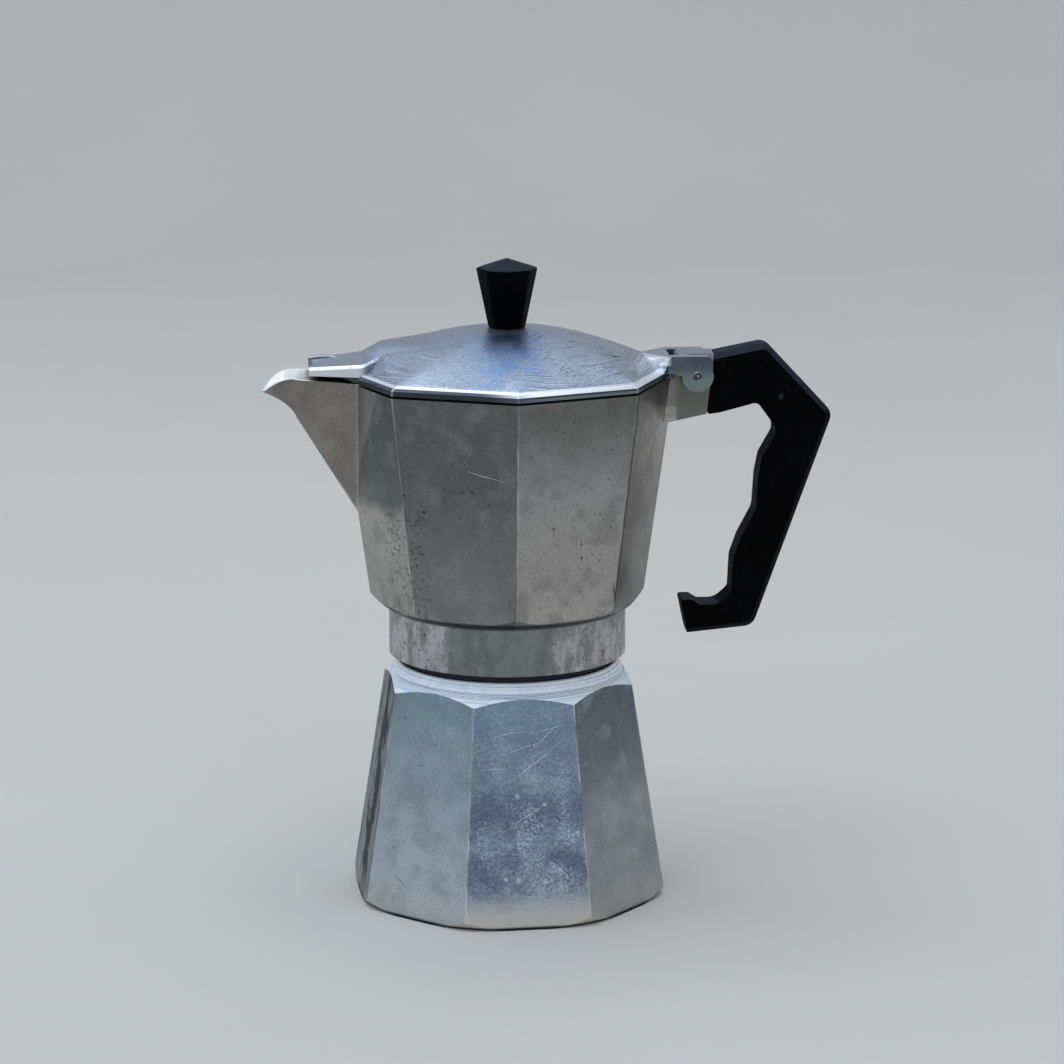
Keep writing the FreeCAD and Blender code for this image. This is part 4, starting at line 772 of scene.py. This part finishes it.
def blackPlastic():
    look = plasticFinish
    patterns, spans = look["patterns"], look["spans"]
    material, shader, place = newMaterial("blackPlastic", 0.0)
    shader.inputs["Specular IOR Level"].default_value = 0.03
    cloud = clouds(place, *patterns["cloud"])
    tone = tint(cloud, look["body"], look["rubbed"])
    scratch = hairs(place, (0, 70, 0), 0.64)
    tone = stain(tone, look["dust"], scratch, 0.5)
    dust = pits(place, *patterns["dust"])
    tone = stain(tone, look["dust"], dust, 0.6)
    facing = facingOf(shader)
    # painted highlight: faces that look up are painted a lighter bluish black, standing in for the sky's
    # reflection
    skySheen = times(fade(facing[2], *spans["sheenTop"]), fade(facing[0], *spans["sheenFront"]))
    tone = tint(skySheen, tone, look["skySheen"])
    handled = fade(calc("ABSOLUTE", facing[1]), *spans["handled"])
    rough = calc("ADD", mixValue(cloud, look["roughLow"], look["roughHigh"]), times(handled, 0.3))
    finish(shader, tone, rough, grain(place, 900, 5), 0.00004)
    return material


rubberFinish = {"body": (0.42, 0.38, 0.32), "worn": (0.30, 0.24, 0.18)}


def sealRubber():
    material, shader, place = newMaterial("sealRubber", 0.0)
    cloud = clouds(place, 120.0, 0.52, 0.15)
    tone = tint(cloud, rubberFinish["body"], rubberFinish["worn"])
    rough = mixValue(cloud, 0.62, 0.78)
    finish(shader, tone, rough, grain(place, 1400, 4), 0.00005)
    return material


# small marks and specks on the castings
markTones = {"brightMark": ((0.50, 0.56, 0.62), (0.74, 0.80, 0.86)),
             "darkMark": ((0.03, 0.03, 0.032), (0.09, 0.092, 0.1))}


def markSkin(name):
    material, shader, place = newMaterial(name, 1.0)
    cloud = clouds(place, 500.0, 0.5, 0.2)
    finish(shader, tint(cloud, *markTones[name]), mixValue(cloud, 0.34, 0.5), grain(place, 4000, 2),
           0.00001)
    return material


boilerSkin = boilerCast()
collectorSkin = collectorCast()
lidSkin = lidCast()
spunAluminium = smallMetal("spunAluminium")
wornSteel = smallMetal("wornSteel")
valveBrass = smallMetal("valveBrass")
peenedPin = smallMetal("peenedPin")
turnedBead = smallMetal("turnedBead")
hingeEnds = pinEnds()
blackSkin = blackPlastic()
rubberSkin = sealRubber()
brightMark = markSkin("brightMark")
darkMark = markSkin("darkMark")
print("materials ready")


def bodyOf(name):
    return [body for body, members in bodies.items() if name in members][0]


def newPiece(name, mesh, body, material=None):
    if material:
        mesh.materials.clear()
        mesh.materials.append(material)
    piece = bpy.data.objects.new(name, mesh)
    scene.collection.objects.link(piece)
    if body:
        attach(piece, body)
    return piece


def meshFrom(name, work):
    bmesh.ops.recalc_face_normals(work, faces=work.faces)
    mesh = bpy.data.meshes.new(name)
    work.to_mesh(mesh)
    work.free()
    return mesh


def smoothTo(mesh, angle):
    mesh.shade_smooth()
    mesh.set_sharp_from_angle(angle=math.radians(angle))


def softenEdges(piece, width, **settings):
    bevel = piece.modifiers.new("softEdges", "BEVEL")
    bevel.width = width
    bevel.segments = 2
    for key, value in settings.items():
        setattr(bevel, key, value)


# how the nodes' meshes are cleaned and softened: metres, and degrees between faces
dressing = {"merged": 2e-6, "degenerate": 1e-6, "flatAngle": 0.4, "roundAngle": 24, "smoothAngle": 32}


def dressNode(name, material, roundEdge, riding=True):
    # a merged copy of the node with softened edges stands in for it
    mesh = nodes[name].data.copy()
    work = bmesh.new()
    work.from_mesh(mesh)
    bmesh.ops.remove_doubles(work, verts=work.verts, dist=dressing["merged"])
    bmesh.ops.dissolve_degenerate(work, edges=work.edges, dist=dressing["degenerate"])
    bmesh.ops.dissolve_limit(work, angle_limit=math.radians(dressing["flatAngle"]), verts=work.verts,
                             edges=work.edges, use_dissolve_boundaries=False)
    work.to_mesh(mesh)
    work.free()
    smoothTo(mesh, dressing["smoothAngle"])
    piece = newPiece(name + "Skin", mesh, bodyOf(name) if riding else None, material)
    if roundEdge:
        softenEdges(piece, roundEdge, limit_method="ANGLE", harden_normals=True,
                    angle_limit=math.radians(dressing["roundAngle"]))
    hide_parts(name)
    return piece


# skin and edge radius of the plainer pieces
plainPieces = {
    "handle": (blackSkin, 0.0014), "knob": (blackSkin, 0.0004), "funnel": (spunAluminium, 0.0002),
    "funnel_plate": (spunAluminium, 0), "filter_plate": (spunAluminium, 0),
    "gasket": (rubberSkin, 0.0004), "hinge_pin": (hingeEnds, 0.0003), "handle_pin": (peenedPin, 0.0002),
    "knob_insert": (valveBrass, 0.0002), "knob_screw": (wornSteel, 0.0002),
    "knob_washer": (wornSteel, 0.00015), "valve_body": (valveBrass, 0.0003),
    "valve_washer": (rubberSkin, 0.0002), "valve_seal": (rubberSkin, 0.0001),
    "valve_plunger": (valveBrass, 0.0002), "valve_cap": (valveBrass, 0.0001),
}

dressNode("boiler", boilerSkin, boilerFinish["roundEdge"])
collectorPiece = dressNode("collector", collectorSkin, collectorFinish["roundEdge"])
lidPiece = dressNode("lid", lidSkin, lidFinish["roundEdge"])
for name, (skin, roundEdge) in plainPieces.items():
    dressNode(name, skin, roundEdge)


def centreOf(name):
    corners = list(zip(*(point.co for point in nodes[name].data.vertices)))
    return Vector([(min(row) + max(row)) / 2 for row in corners])


def dressSpring(name, fixed, moving):
    # the spring is dressed without a body, and its transform is baked into its mesh; its middle and its
    # axis from the disc that lifts to the ring that holds it are found but not used
    piece = dressNode(name, wornSteel, 0, riding=False)
    middle = centreOf(name)
    axis = (centreOf(fixed) - centreOf(moving)).normalized()
    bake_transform(piece)


dressSpring("valve_spring", "valve_cap", "valve_seal")

# the lid's raised wedge runs into the ears without a step: corner as cast, corner wanted, millimetres
wedgeCorners = (((53.0, 13.8, 179.4), (51.6, 12.2, 179.4)), ((53.0, 10.4, 184.8), (53.9, 10.7, 184.8)))
cornerSlack = 0.05  # how near a point has to be


def fairWedge(mesh):
    moved = 0
    for point in mesh.vertices:
        flank = math.copysign(1, point.co.y)
        for (x, y, z), (toX, toY, toZ) in wedgeCorners:
            if (point.co * 1000 - Vector((x, flank * y, z))).length < cornerSlack:
                point.co = Vector((toX, flank * toY, toZ)) / 1000
                moved += 1
                break
    print("wedge corners moved:", moved)


fairWedge(lidPiece.data)
lidTree = BVHTree.FromPolygons([point.co for point in lidPiece.data.vertices],
                               [face.vertices for face in lidPiece.data.polygons])


def onLid(x, y):
    # the point of the dome below a place in millimetres, found from well above the knob
    return lidTree.ray_cast(Vector((x / 1000, y / 1000, 0.3)), Vector((0, 0, -1)))[0]


# the dome swells beside the spout cover until it is level with the tail, in millimetres: places along
# the tail, its top and half width there, how far the swelling reaches, and how softly it ends at the rim
lidSwell = {"along": (-48.4, -41.5, -22.0, -17.0), "top": (184.05, 187.6, 190.8, 190.8),
            "half": (14.2, 14.4, 12.5, 12.0), "reach": 24.0, "rim": 50.6, "rimGap": 0.05, "rimSoft": 6.4,
            "sunk": 0.03, "skin": 0.4, "rows": 24, "columns": 16, "smoothAngle": 40}


def ease(share):
    share = min(max(share, 0.0), 1.0)
    return share * share * (3 - 2 * share)


def along(values, stops, place):
    for k in range(len(stops) - 1):
        if place <= stops[k + 1]:
            break
    share = (place - stops[k]) / (stops[k + 1] - stops[k])
    return values[k] + share * (values[k + 1] - values[k])


def swellLid():
    look = lidSwell
    stops = look["along"]
    cosine, sine = math.cos(sideAngle / 2), math.sin(sideAngle / 2)
    work = bmesh.new()
    for flank in (-1, 1):
        tops, bases = [], []
        for row in range(look["rows"] + 1):
            x = stops[0] + (stops[-1] - stops[0]) * row / look["rows"]
            half = along(look["half"], stops, x)
            # the same place a quarter turn on, where the dome is bare
            lift = max(0.0, along(look["top"], stops, x) - onLid(half, x).z * 1000)
            reach = min(look["reach"], -x - half)
            wide = min(reach, (look["rim"] - look["rimGap"] + x * cosine) / sine - half)
            tops.append([])
            bases.append([])
            for column in range(look["columns"] + 1):
                out = wide * column / look["columns"]
                y = half + out
                ground = onLid(y, x).z * 1000
                rim = (look["rim"] + x * cosine - y * sine) / look["rimSoft"]
                height = ground + lift * ease(1 - out / reach) * ease(rim) - look["sunk"]
                tops[-1].append(work.verts.new((x / 1000, flank * y / 1000, height / 1000)))
                bases[-1].append(work.verts.new((x / 1000, flank * y / 1000,
                                                 (ground - look["skin"]) / 1000)))
        for sheet in (tops, bases):
            for near, far in zip(sheet, sheet[1:]):
                for k in range(look["columns"]):
                    work.faces.new((near[k], near[k + 1], far[k + 1], far[k]))
        topEdge, baseEdge = [[*sheet[0], *[line[-1] for line in sheet[1:]], *sheet[-1][-2::-1],
                              *[line[0] for line in sheet[-2:0:-1]]] for sheet in (tops, bases)]
        for k in range(len(topEdge)):
            work.faces.new((topEdge[k - 1], topEdge[k], baseEdge[k], baseEdge[k - 1]))
    mesh = meshFrom("lidSwell", work)
    smoothTo(mesh, look["smoothAngle"])
    newPiece("lidSwell", mesh, "lid", lidSkin)


swellLid()
print("cast and turned pieces dressed")


# details that repeat or follow a surface are grown with geometry nodes

def newGrowth(name, **kinds):
    tree = bpy.data.node_groups.new(name, "GeometryNodeTree")
    for label, kind in (*kinds.items(), ("Material", "Material")):
        tree.interface.new_socket(label, in_out="INPUT", socket_type="NodeSocket" + kind)
    tree.interface.new_socket("Geometry", in_out="OUTPUT", socket_type="NodeSocketGeometry")
    return tree, wire(tree, "NodeGroupInput").outputs


def endGrowth(tree, given, shape):
    smooth = wire(tree, "GeometryNodeSetShadeSmooth", {"Geometry": shape}).outputs[0]
    plain = wire(tree, "GeometryNodeRealizeInstances", {"Geometry": smooth}).outputs[0]
    inputs = {"Geometry": plain, "Material": given["Material"]}
    dressed = wire(tree, "GeometryNodeSetMaterial", inputs).outputs[0]
    wire(tree, "NodeGroupOutput", {"Geometry": dressed})
    return tree


def circle(tree, resolution, radius):
    inputs = {"Resolution": resolution, "Radius": radius}
    return wire(tree, "GeometryNodeCurvePrimitiveCircle", inputs).outputs[0]


def tube(tree, curve, wireRadius, sides, taper=1.0):
    inputs = {"Curve": curve, "Profile Curve": circle(tree, sides, wireRadius), "Scale": taper}
    return wire(tree, "GeometryNodeCurveToMesh", inputs).outputs[0]


def scatter(tree, points, instance, **turns):
    inputs = {"Points": points, "Instance": instance, **turns}
    return wire(tree, "GeometryNodeInstanceOnPoints", inputs).outputs[0]


def makeScratchGrowth():
    # a fine burr along every drawn line, thin at both ends
    tree, given = newGrowth("scratchGrowth", Lines="Geometry", Wire="Float")
    curve = wire(tree, "GeometryNodeMeshToCurve", {"Mesh": given["Lines"]}).outputs[0]
    part = wire(tree, "GeometryNodeSplineParameter").outputs["Factor"]
    swell = calc("SINE", times(part, math.pi))
    return endGrowth(tree, given, tube(tree, curve, given["Wire"], 5, mixValue(swell, 0.25, 1.0)))


def makeRingGrowth():
    # turned ridges round the upright axis
    tree, given = newGrowth("ringGrowth", Count="Int", First="Float", Step="Float", Height="Float",
                            Rise="Float", Wire="Float")
    inputs = {"Count": given["Count"], "Start Location": lifted(given["Height"]),
              "Offset": lifted(given["Rise"])}
    points = wire(tree, "GeometryNodeMeshLine", inputs).outputs[0]
    index = wire(tree, "GeometryNodeInputIndex").outputs[0]
    reach = calc("MULTIPLY_ADD", index, given["Step"], given["First"])
    size = wire(tree, "ShaderNodeCombineXYZ", {0: reach, 1: reach, 2: 1.0}).outputs[0]
    ridges = scatter(tree, points, circle(tree, 128, 1.0), Scale=size)
    curves = wire(tree, "GeometryNodeRealizeInstances", {"Geometry": ridges}).outputs[0]
    return endGrowth(tree, given, tube(tree, curves, given["Wire"], 8))


def makeRimGrowth():
    # a raised rim round every hole: one in the middle, then six more in each ring
    tree, given = newGrowth("rimGrowth", Step="Float", Hole="Float", Wire="Float", Height="Float")
    joined = wire(tree, "GeometryNodeJoinGeometry")
    link(wire(tree, "GeometryNodeMeshLine", {"Count": 1}).outputs[0], joined.inputs[0])
    for ring in range(1, 5):
        inputs = {"Vertices": 6 * ring, "Radius": times(given["Step"], float(ring))}
        link(wire(tree, "GeometryNodeMeshCircle", inputs).outputs[0], joined.inputs[0])
    rim = tube(tree, circle(tree, 18, given["Hole"]), given["Wire"], 6)
    inputs = {"Geometry": scatter(tree, joined.outputs[0], rim), "Translation": lifted(given["Height"])}
    return endGrowth(tree, given, wire(tree, "GeometryNodeTransform", inputs).outputs[0])


def makeSpeckGrowth():
    # flat grains scattered over the outside of a casting between two heights
    tree, given = newGrowth("speckGrowth", Surface="Geometry", Density="Float", Seed="Int", Low="Float",
                            High="Float", Small="Float", Large="Float")
    where = wire(tree, "GeometryNodeInputPosition").outputs[0]
    facing = wire(tree, "GeometryNodeInputNormal").outputs[0]
    level = wire(tree, "ShaderNodeVectorMath", {0: where, 1: (1, 1, 0)}, operation="MULTIPLY").outputs[0]
    outward = wire(tree, "ShaderNodeVectorMath", {0: level}, operation="NORMALIZE").outputs[0]
    turned = wire(tree, "ShaderNodeVectorMath", {0: outward, 1: facing}, operation="DOT_PRODUCT")
    height = axesOf(where)[2]
    kept = times(calc("GREATER_THAN", turned.outputs["Value"], 0.8),
                 calc("GREATER_THAN", height, given["Low"]), calc("LESS_THAN", height, given["High"]))
    inputs = {"Mesh": given["Surface"], "Density": given["Density"], "Seed": given["Seed"],
              "Selection": kept}
    points = wire(tree, "GeometryNodeDistributePointsOnFaces", inputs).outputs
    inputs = {2: given["Small"], 3: given["Large"], "Seed": given["Seed"]}
    size = wire(tree, "FunctionNodeRandomValue", inputs).outputs[1]
    flat = wire(tree, "ShaderNodeCombineXYZ", {0: size, 1: size, 2: times(size, 0.3)}).outputs[0]
    ball = wire(tree, "GeometryNodeMeshIcoSphere", {"Radius": 1.0, "Subdivisions": 1}).outputs[0]
    grains = scatter(tree, points["Points"], ball, Rotation=points["Rotation"], Scale=flat)
    return endGrowth(tree, given, grains)


def grow(name, tree, body, mesh, values):
    # the tree runs once on a holder, and its result is kept as a plain mesh
    holder = bpy.data.objects.new(name + "Holder", mesh)
    scene.collection.objects.link(holder)
    modifier = holder.modifiers.new("growth", "NODES")
    modifier.node_group = tree
    for socket in tree.interface.items_tree:
        if socket.name in values:
            modifier[socket.identifier] = values[socket.name]
    grown = bpy.data.meshes.new_from_object(holder.evaluated_get(bpy.context.evaluated_depsgraph_get()))
    bpy.data.objects.remove(holder)
    return newPiece(name, grown, body)


def drawLines(name, lines):
    points = [point for line in lines for point in line]
    edges = []
    for line in lines:
        first = edges[-1][1] + 1 if edges else 0
        edges += [(first + k, first + k + 1) for k in range(len(line) - 1)]
    mesh = bpy.data.meshes.new(name)
    mesh.from_pydata(points, edges, [])
    return mesh


scratchGrowth = makeScratchGrowth()
ringGrowth = makeRingGrowth()
rimGrowth = makeRimGrowth()
speckGrowth = makeSpeckGrowth()

# scratches: side, then places on it in millimetres from its middle line and from the table
boilerMarks = {
    "bright": (
        (rightFront, (-12.4, 63.5), (-5.0, 64.9), (2.7, 65.4)),
        (rightFront, (-15.1, 53.0), (-10, 53.4), (-4.3, 53.1)),
        (rightFront, (-4.3, 49.7), (4.0, 55.4), (13.5, 62.9)),
        (rightFront, (0.0, 56.9), (7.0, 63.6), (13.6, 69.5)),
        (rightFront, (4.9, 52.9), (14.9, 52.5), (14.5, 50.6)),
        (rightFront, (-4.7, 34.9), (2.0, 38.4), (7.2, 41.8)),
        (rightFront, (1.0, 64.5), (9.0, 66.0), (14.0, 67.4)),
        (rightFront, (-9.0, 57.5), (2.0, 60.8), (8.0, 62.0)),
        (leftFront, (-0.7, 64.6), (0.9, 61.8), (2.0, 60.0)), (leftFront, (-16.3, 51.2), (-14.7, 48.7)),
        (rightRear, (-8.2, 62.9), (-6.9, 62.4)), (rightRear, (-9.4, 61.2), (-8.6, 60.4)),
    ),
    "dark": (
        (rightFront, (2.4, 62.5), (2.3, 61.0), (2.4, 59.3)), (rightFront, (-10.1, 72.0), (-9.7, 68.7)),
        (rightFront, (14.8, 53.4), (14.5, 50.4)), (leftFront, (-9.9, 13.6), (-7.4, 12.0), (-5.4, 11.1)),
    ),
}
collectorMarks = {
    "bright": (
        (leftFront, (3.1, 154.3), (7.5, 152.9), (15.9, 151.4)), (leftFront, (9.0, 152.9), (13.0, 153.6)),
    ),
    "dark": (
        (rightFront, (16.9, 114.6), (18.0, 110.0), (19.1, 105.0)),
        (rightFront, (17.2, 113.2), (18.9, 106.0)), (leftFront, (-18.0, 133.1), (-17.4, 132.6)),
        (leftFront, (-6.8, 132.1), (-6.2, 131.8)), (rightFront, (-2.9, 145.8), (-2.3, 145.5)),
        (rightFront, (-14.9, 114.6), (-14.3, 114.3)),
    ),
}
# rub marks on the dome, as places seen from above
lidMarks = {
    "bright": (
        ((-19.6, -25.0), (-18.2, -24.8)), ((-13.0, -26.8), (-12.0, -26.5)),
        ((-5.0, -37.9), (-4.2, -37.6)), ((-20.9, -30.0), (-19.6, -29.8)),
    ),
    "dark": (
        ((7.0, -15.3), (8.9, -11.4), (10.5, -7.2)), ((7.3, -19.1), (9.6, -15.2), (11.5, -10.8)),
        ((15.6, -18.7), (20.7, -14.3), (26.0, -13.8)), ((16.3, -23.6), (19.0, -21.4), (21.4, -19.7)),
        ((26.1, -32.3), (29.6, -30.0), (32.5, -27.3)), ((31.3, -21.1), (34.4, -18.5), (36.6, -15.5)),
        ((17.6, -45.6), (19.5, -46.3)), ((4.0, -48.9), (5.6, -49.7)), ((9.0, -27.1), (14.1, -22.7)),
        ((12.1, -18.0), (15.0, -10.5)), ((27.8, -39.8), (32.2, -35.9)), ((23.4, -41.7), (24.0, -41.3)),
        ((27.2, -42.4), (27.8, -42.0)), ((34.1, -31.6), (34.8, -31.1)),
    ),
}
markWire = {"bright": 0.00012, "dark": 0.00015}


def drawScratches(body, marks, placed):
    for kind, skin in (("bright", brightMark), ("dark", darkMark)):
        lines = drawLines(body + kind, [placed(*mark) for mark in marks[kind]])
        inputs = {"Wire": markWire[kind], "Material": skin}
        grow(f"{body}Scratches.{kind}", scratchGrowth, body, lines, inputs)


def onVessel(shape):
    # the places of a mark on one side of a vessel
    def placed(side, *stops):
        return [onSide(shape, side, across / 1000, height / 1000) for across, height in stops]
    return placed


def onDome(*stops):
    return [onLid(x, y) for x, y in stops]


# turned ridges on the boiler's shoulder, which falls outward from the neck
shoulderRings = {"Count": 5, "First": 0.0379, "Step": 0.0005, "Height": 0.07724, "Rise": -0.000332,
                 "Wire": 0.00016}
# rounded beads that climb from the shoulder to the neck
neckBeads = {"Count": 3, "First": 0.0369, "Step": 0.0006, "Height": 0.0800, "Rise": -0.0011,
             "Wire": 0.00085}
# raised rims of the perforations, and specks of the collector
plateRims = {"Step": 0.0056, "Hole": 0.00092, "Wire": 0.00012}
collectorSpecks = {"Density": 14000.0, "Seed": 5, "Low": 0.0835, "High": 0.176, "Small": 0.00007,
                   "Large": 0.00026}

drawScratches("boiler", boilerMarks, onVessel(boilerShape))
drawScratches("collector", collectorMarks, onVessel(collectorShape))
drawScratches("lid", lidMarks, onDome)
grow("shoulderRings", ringGrowth, "boiler", bpy.data.meshes.new("rings"),
     {**shoulderRings, "Material": boilerSkin})
grow("neckBeads", ringGrowth, "boiler", bpy.data.meshes.new("beads"),
     {**neckBeads, "Material": turnedBead})
for plate, pick in (("filter_plate", min), ("funnel_plate", max)):
    face = pick(point.co.z for point in nodes[plate].data.vertices)
    grow(plate + "Rims", rimGrowth, bodyOf(plate), bpy.data.meshes.new("rims"),
         {**plateRims, "Height": face, "Material": spunAluminium})
grow("collectorSpecks", speckGrowth, "collector", collectorPiece.data.copy(),
     {**collectorSpecks, "Material": darkMark})
print("scratches, rings, rims and specks grown")

# moulded collar where the handle meets the lug: a low pad on each flank, millimetres across and up
handleCollar = {"outline": ((67.9, 171.5), (70.4, 170.9), (73.2, 170.7), (74.4, 171.3), (74.9, 172.6),
                            (75.9, 183.0), (69.2, 182.8)),
                "face": 5.8, "proud": 0.15, "sunk": 0.3, "roundEdge": 0.0001}

# upper front corner of the fixed knuckle, squarer than its round, inside the sweep of the lid
knuckleCorner = {"outline": ((63.0, 184.85), (57.3, 184.85), (56.3, 183.9), (55.9, 181.5), (58.0, 179.0),
                             (63.0, 179.0)),
                 "halfWidth": 5.55, "roundEdge": 0.0003}

# raised rim at the far end of the spout cover
coverRim = {"outline": ((-66.2, 181.9), (-66.5, 182.7), (-66.0, 183.4), (-63.0, 183.8), (-59.0, 183.75),
                        (-56.5, 183.3), (-56.5, 182.6)),
            "depths": (7.0, 9.6), "roundEdge": 0.0005}


def slab(name, body, outline, spans, skin, roundEdge):
    # an outline seen from the front, cut out between each pair of depths
    work = bmesh.new()
    count = len(outline)
    for span in spans:
        near, far = [[work.verts.new((x / 1000, y / 1000, z / 1000)) for x, z in outline] for y in span]
        work.faces.new(near)
        work.faces.new(far)
        for k in range(count):
            work.faces.new((near[k], near[k - count + 1], far[k - count + 1], far[k]))
    softenEdges(newPiece(name, meshFrom(name, work), body, skin), roundEdge)


padDepths = (handleCollar["face"] - handleCollar["sunk"], handleCollar["face"] + handleCollar["proud"])
slab("handleCollar", "collector", handleCollar["outline"],
     [[flank * depth for depth in padDepths] for flank in (-1, 1)], blackSkin, handleCollar["roundEdge"])
slab("knuckleCorner", "collector", knuckleCorner["outline"],
     [(-knuckleCorner["halfWidth"], knuckleCorner["halfWidth"])], collectorSkin,
     knuckleCorner["roundEdge"])
slab("coverRim", "lid", coverRim["outline"], [coverRim["depths"]], lidSkin, coverRim["roundEdge"])
print("handle collar, knuckle corner and cover rim made")

# floor that curves up into a backdrop
stageShape = {"near": -3.0, "far": 1.6, "wide": 3.5, "bend": 0.6, "top": 1.3, "steps": 24}
stageFinish = {"low": (0.60, 0.575, 0.54), "high": (0.63, 0.605, 0.57)}


def layFloor():
    shape = stageShape
    profile = [(shape["near"], 0.0)]
    for step in range(shape["steps"] + 1):
        angle = math.pi / 2 * step / shape["steps"]
        y = shape["far"] + shape["bend"] * math.sin(angle)
        profile.append((y, shape["bend"] * (1 - math.cos(angle))))
    profile.append((shape["far"] + shape["bend"], shape["top"]))
    points = [(side * shape["wide"], y, z) for y, z in profile for side in (-1, 1)]
    faces = [(2 * k, 2 * k + 1, 2 * k + 3, 2 * k + 2) for k in range(len(profile) - 1)]
    mesh = bpy.data.meshes.new("floor")
    mesh.from_pydata(points, [], faces)
    mesh.shade_smooth()
    floor = bpy.data.objects.new("floor", mesh)
    scene.collection.objects.link(floor)
    material, shader, place = newMaterial("paleFloor", 0.0)
    cloud = clouds(place, 3.0, 0.5, 0.3)
    tone = tint(cloud, stageFinish["low"], stageFinish["high"])
    finish(shader, tone, mixValue(cloud, 0.75, 0.85), grain(place, 600, 3), 0.0001)
    mesh.materials.append(material)


layFloor()

# soft sky: bluish above, greyer towards the horizon and on the right
skyTones = {"horizon": (0.40, 0.44, 0.48), "middle": (0.62, 0.71, 0.82), "zenith": (0.80, 0.88, 0.98),
            "right": (0.42, 0.42, 0.42), "lowSpan": (0.0, 0.35), "highSpan": (0.35, 0.95),
            "rightSpan": (0.25, 0.85), "rightShare": 0.7}


def hangSky():
    world = bpy.data.worlds.new("softSky")
    scene.world = world
    world.use_nodes = True
    look = skyTones
    axes = axesOf(wire(world.node_tree, "ShaderNodeTexCoord").outputs["Generated"])
    tone = tint(fade(axes[2], *look["lowSpan"]), look["horizon"], look["middle"])
    tone = tint(fade(axes[2], *look["highSpan"]), tone, look["zenith"])
    tone = stain(tone, look["right"], fade(axes[0], *look["rightSpan"]), look["rightShare"])
    background = world.node_tree.nodes["Background"]
    link(tone, background.inputs["Color"])
    background.inputs["Strength"].default_value = 1.0


# wide soft lamp overhead
skyPanel = {"place": (-0.3, 0.0, 1.5), "aim": (0, 0, 0.1), "size": (1.6, 1.6), "power": 7,
            "colour": (0.90, 0.95, 1.0)}


def aimed(name, data, place, direction):
    holder = bpy.data.objects.new(name, data)
    holder.location = place
    holder.rotation_euler = Vector(direction).to_track_quat("-Z", "Y").to_euler()
    scene.collection.objects.link(holder)
    return holder


def hangPanel():
    look = skyPanel
    lamp = bpy.data.lights.new("skyPanel", "AREA")
    lamp.shape = "RECTANGLE"
    lamp.size, lamp.size_y = look["size"]
    lamp.energy = look["power"]
    lamp.color = look["colour"]
    aimed("skyPanel", lamp, look["place"], Vector(look["aim"]) - Vector(look["place"]))


hangSky()
hangPanel()

cameraSetup = {"place": (-0.076907, -1.162533, 0.373477), "look": (0.07157, 0.97519, -0.20946),
               "focal": 3527.577 / 1064, "sensor": 36}


def placeCamera():
    camera = bpy.data.cameras.new("photoCamera")
    camera.sensor_width = cameraSetup["sensor"]
    camera.lens = cameraSetup["focal"] * cameraSetup["sensor"]
    scene.camera = aimed("photoCamera", camera, cameraSetup["place"], cameraSetup["look"])


placeCamera()
print("floor, sky and camera placed")
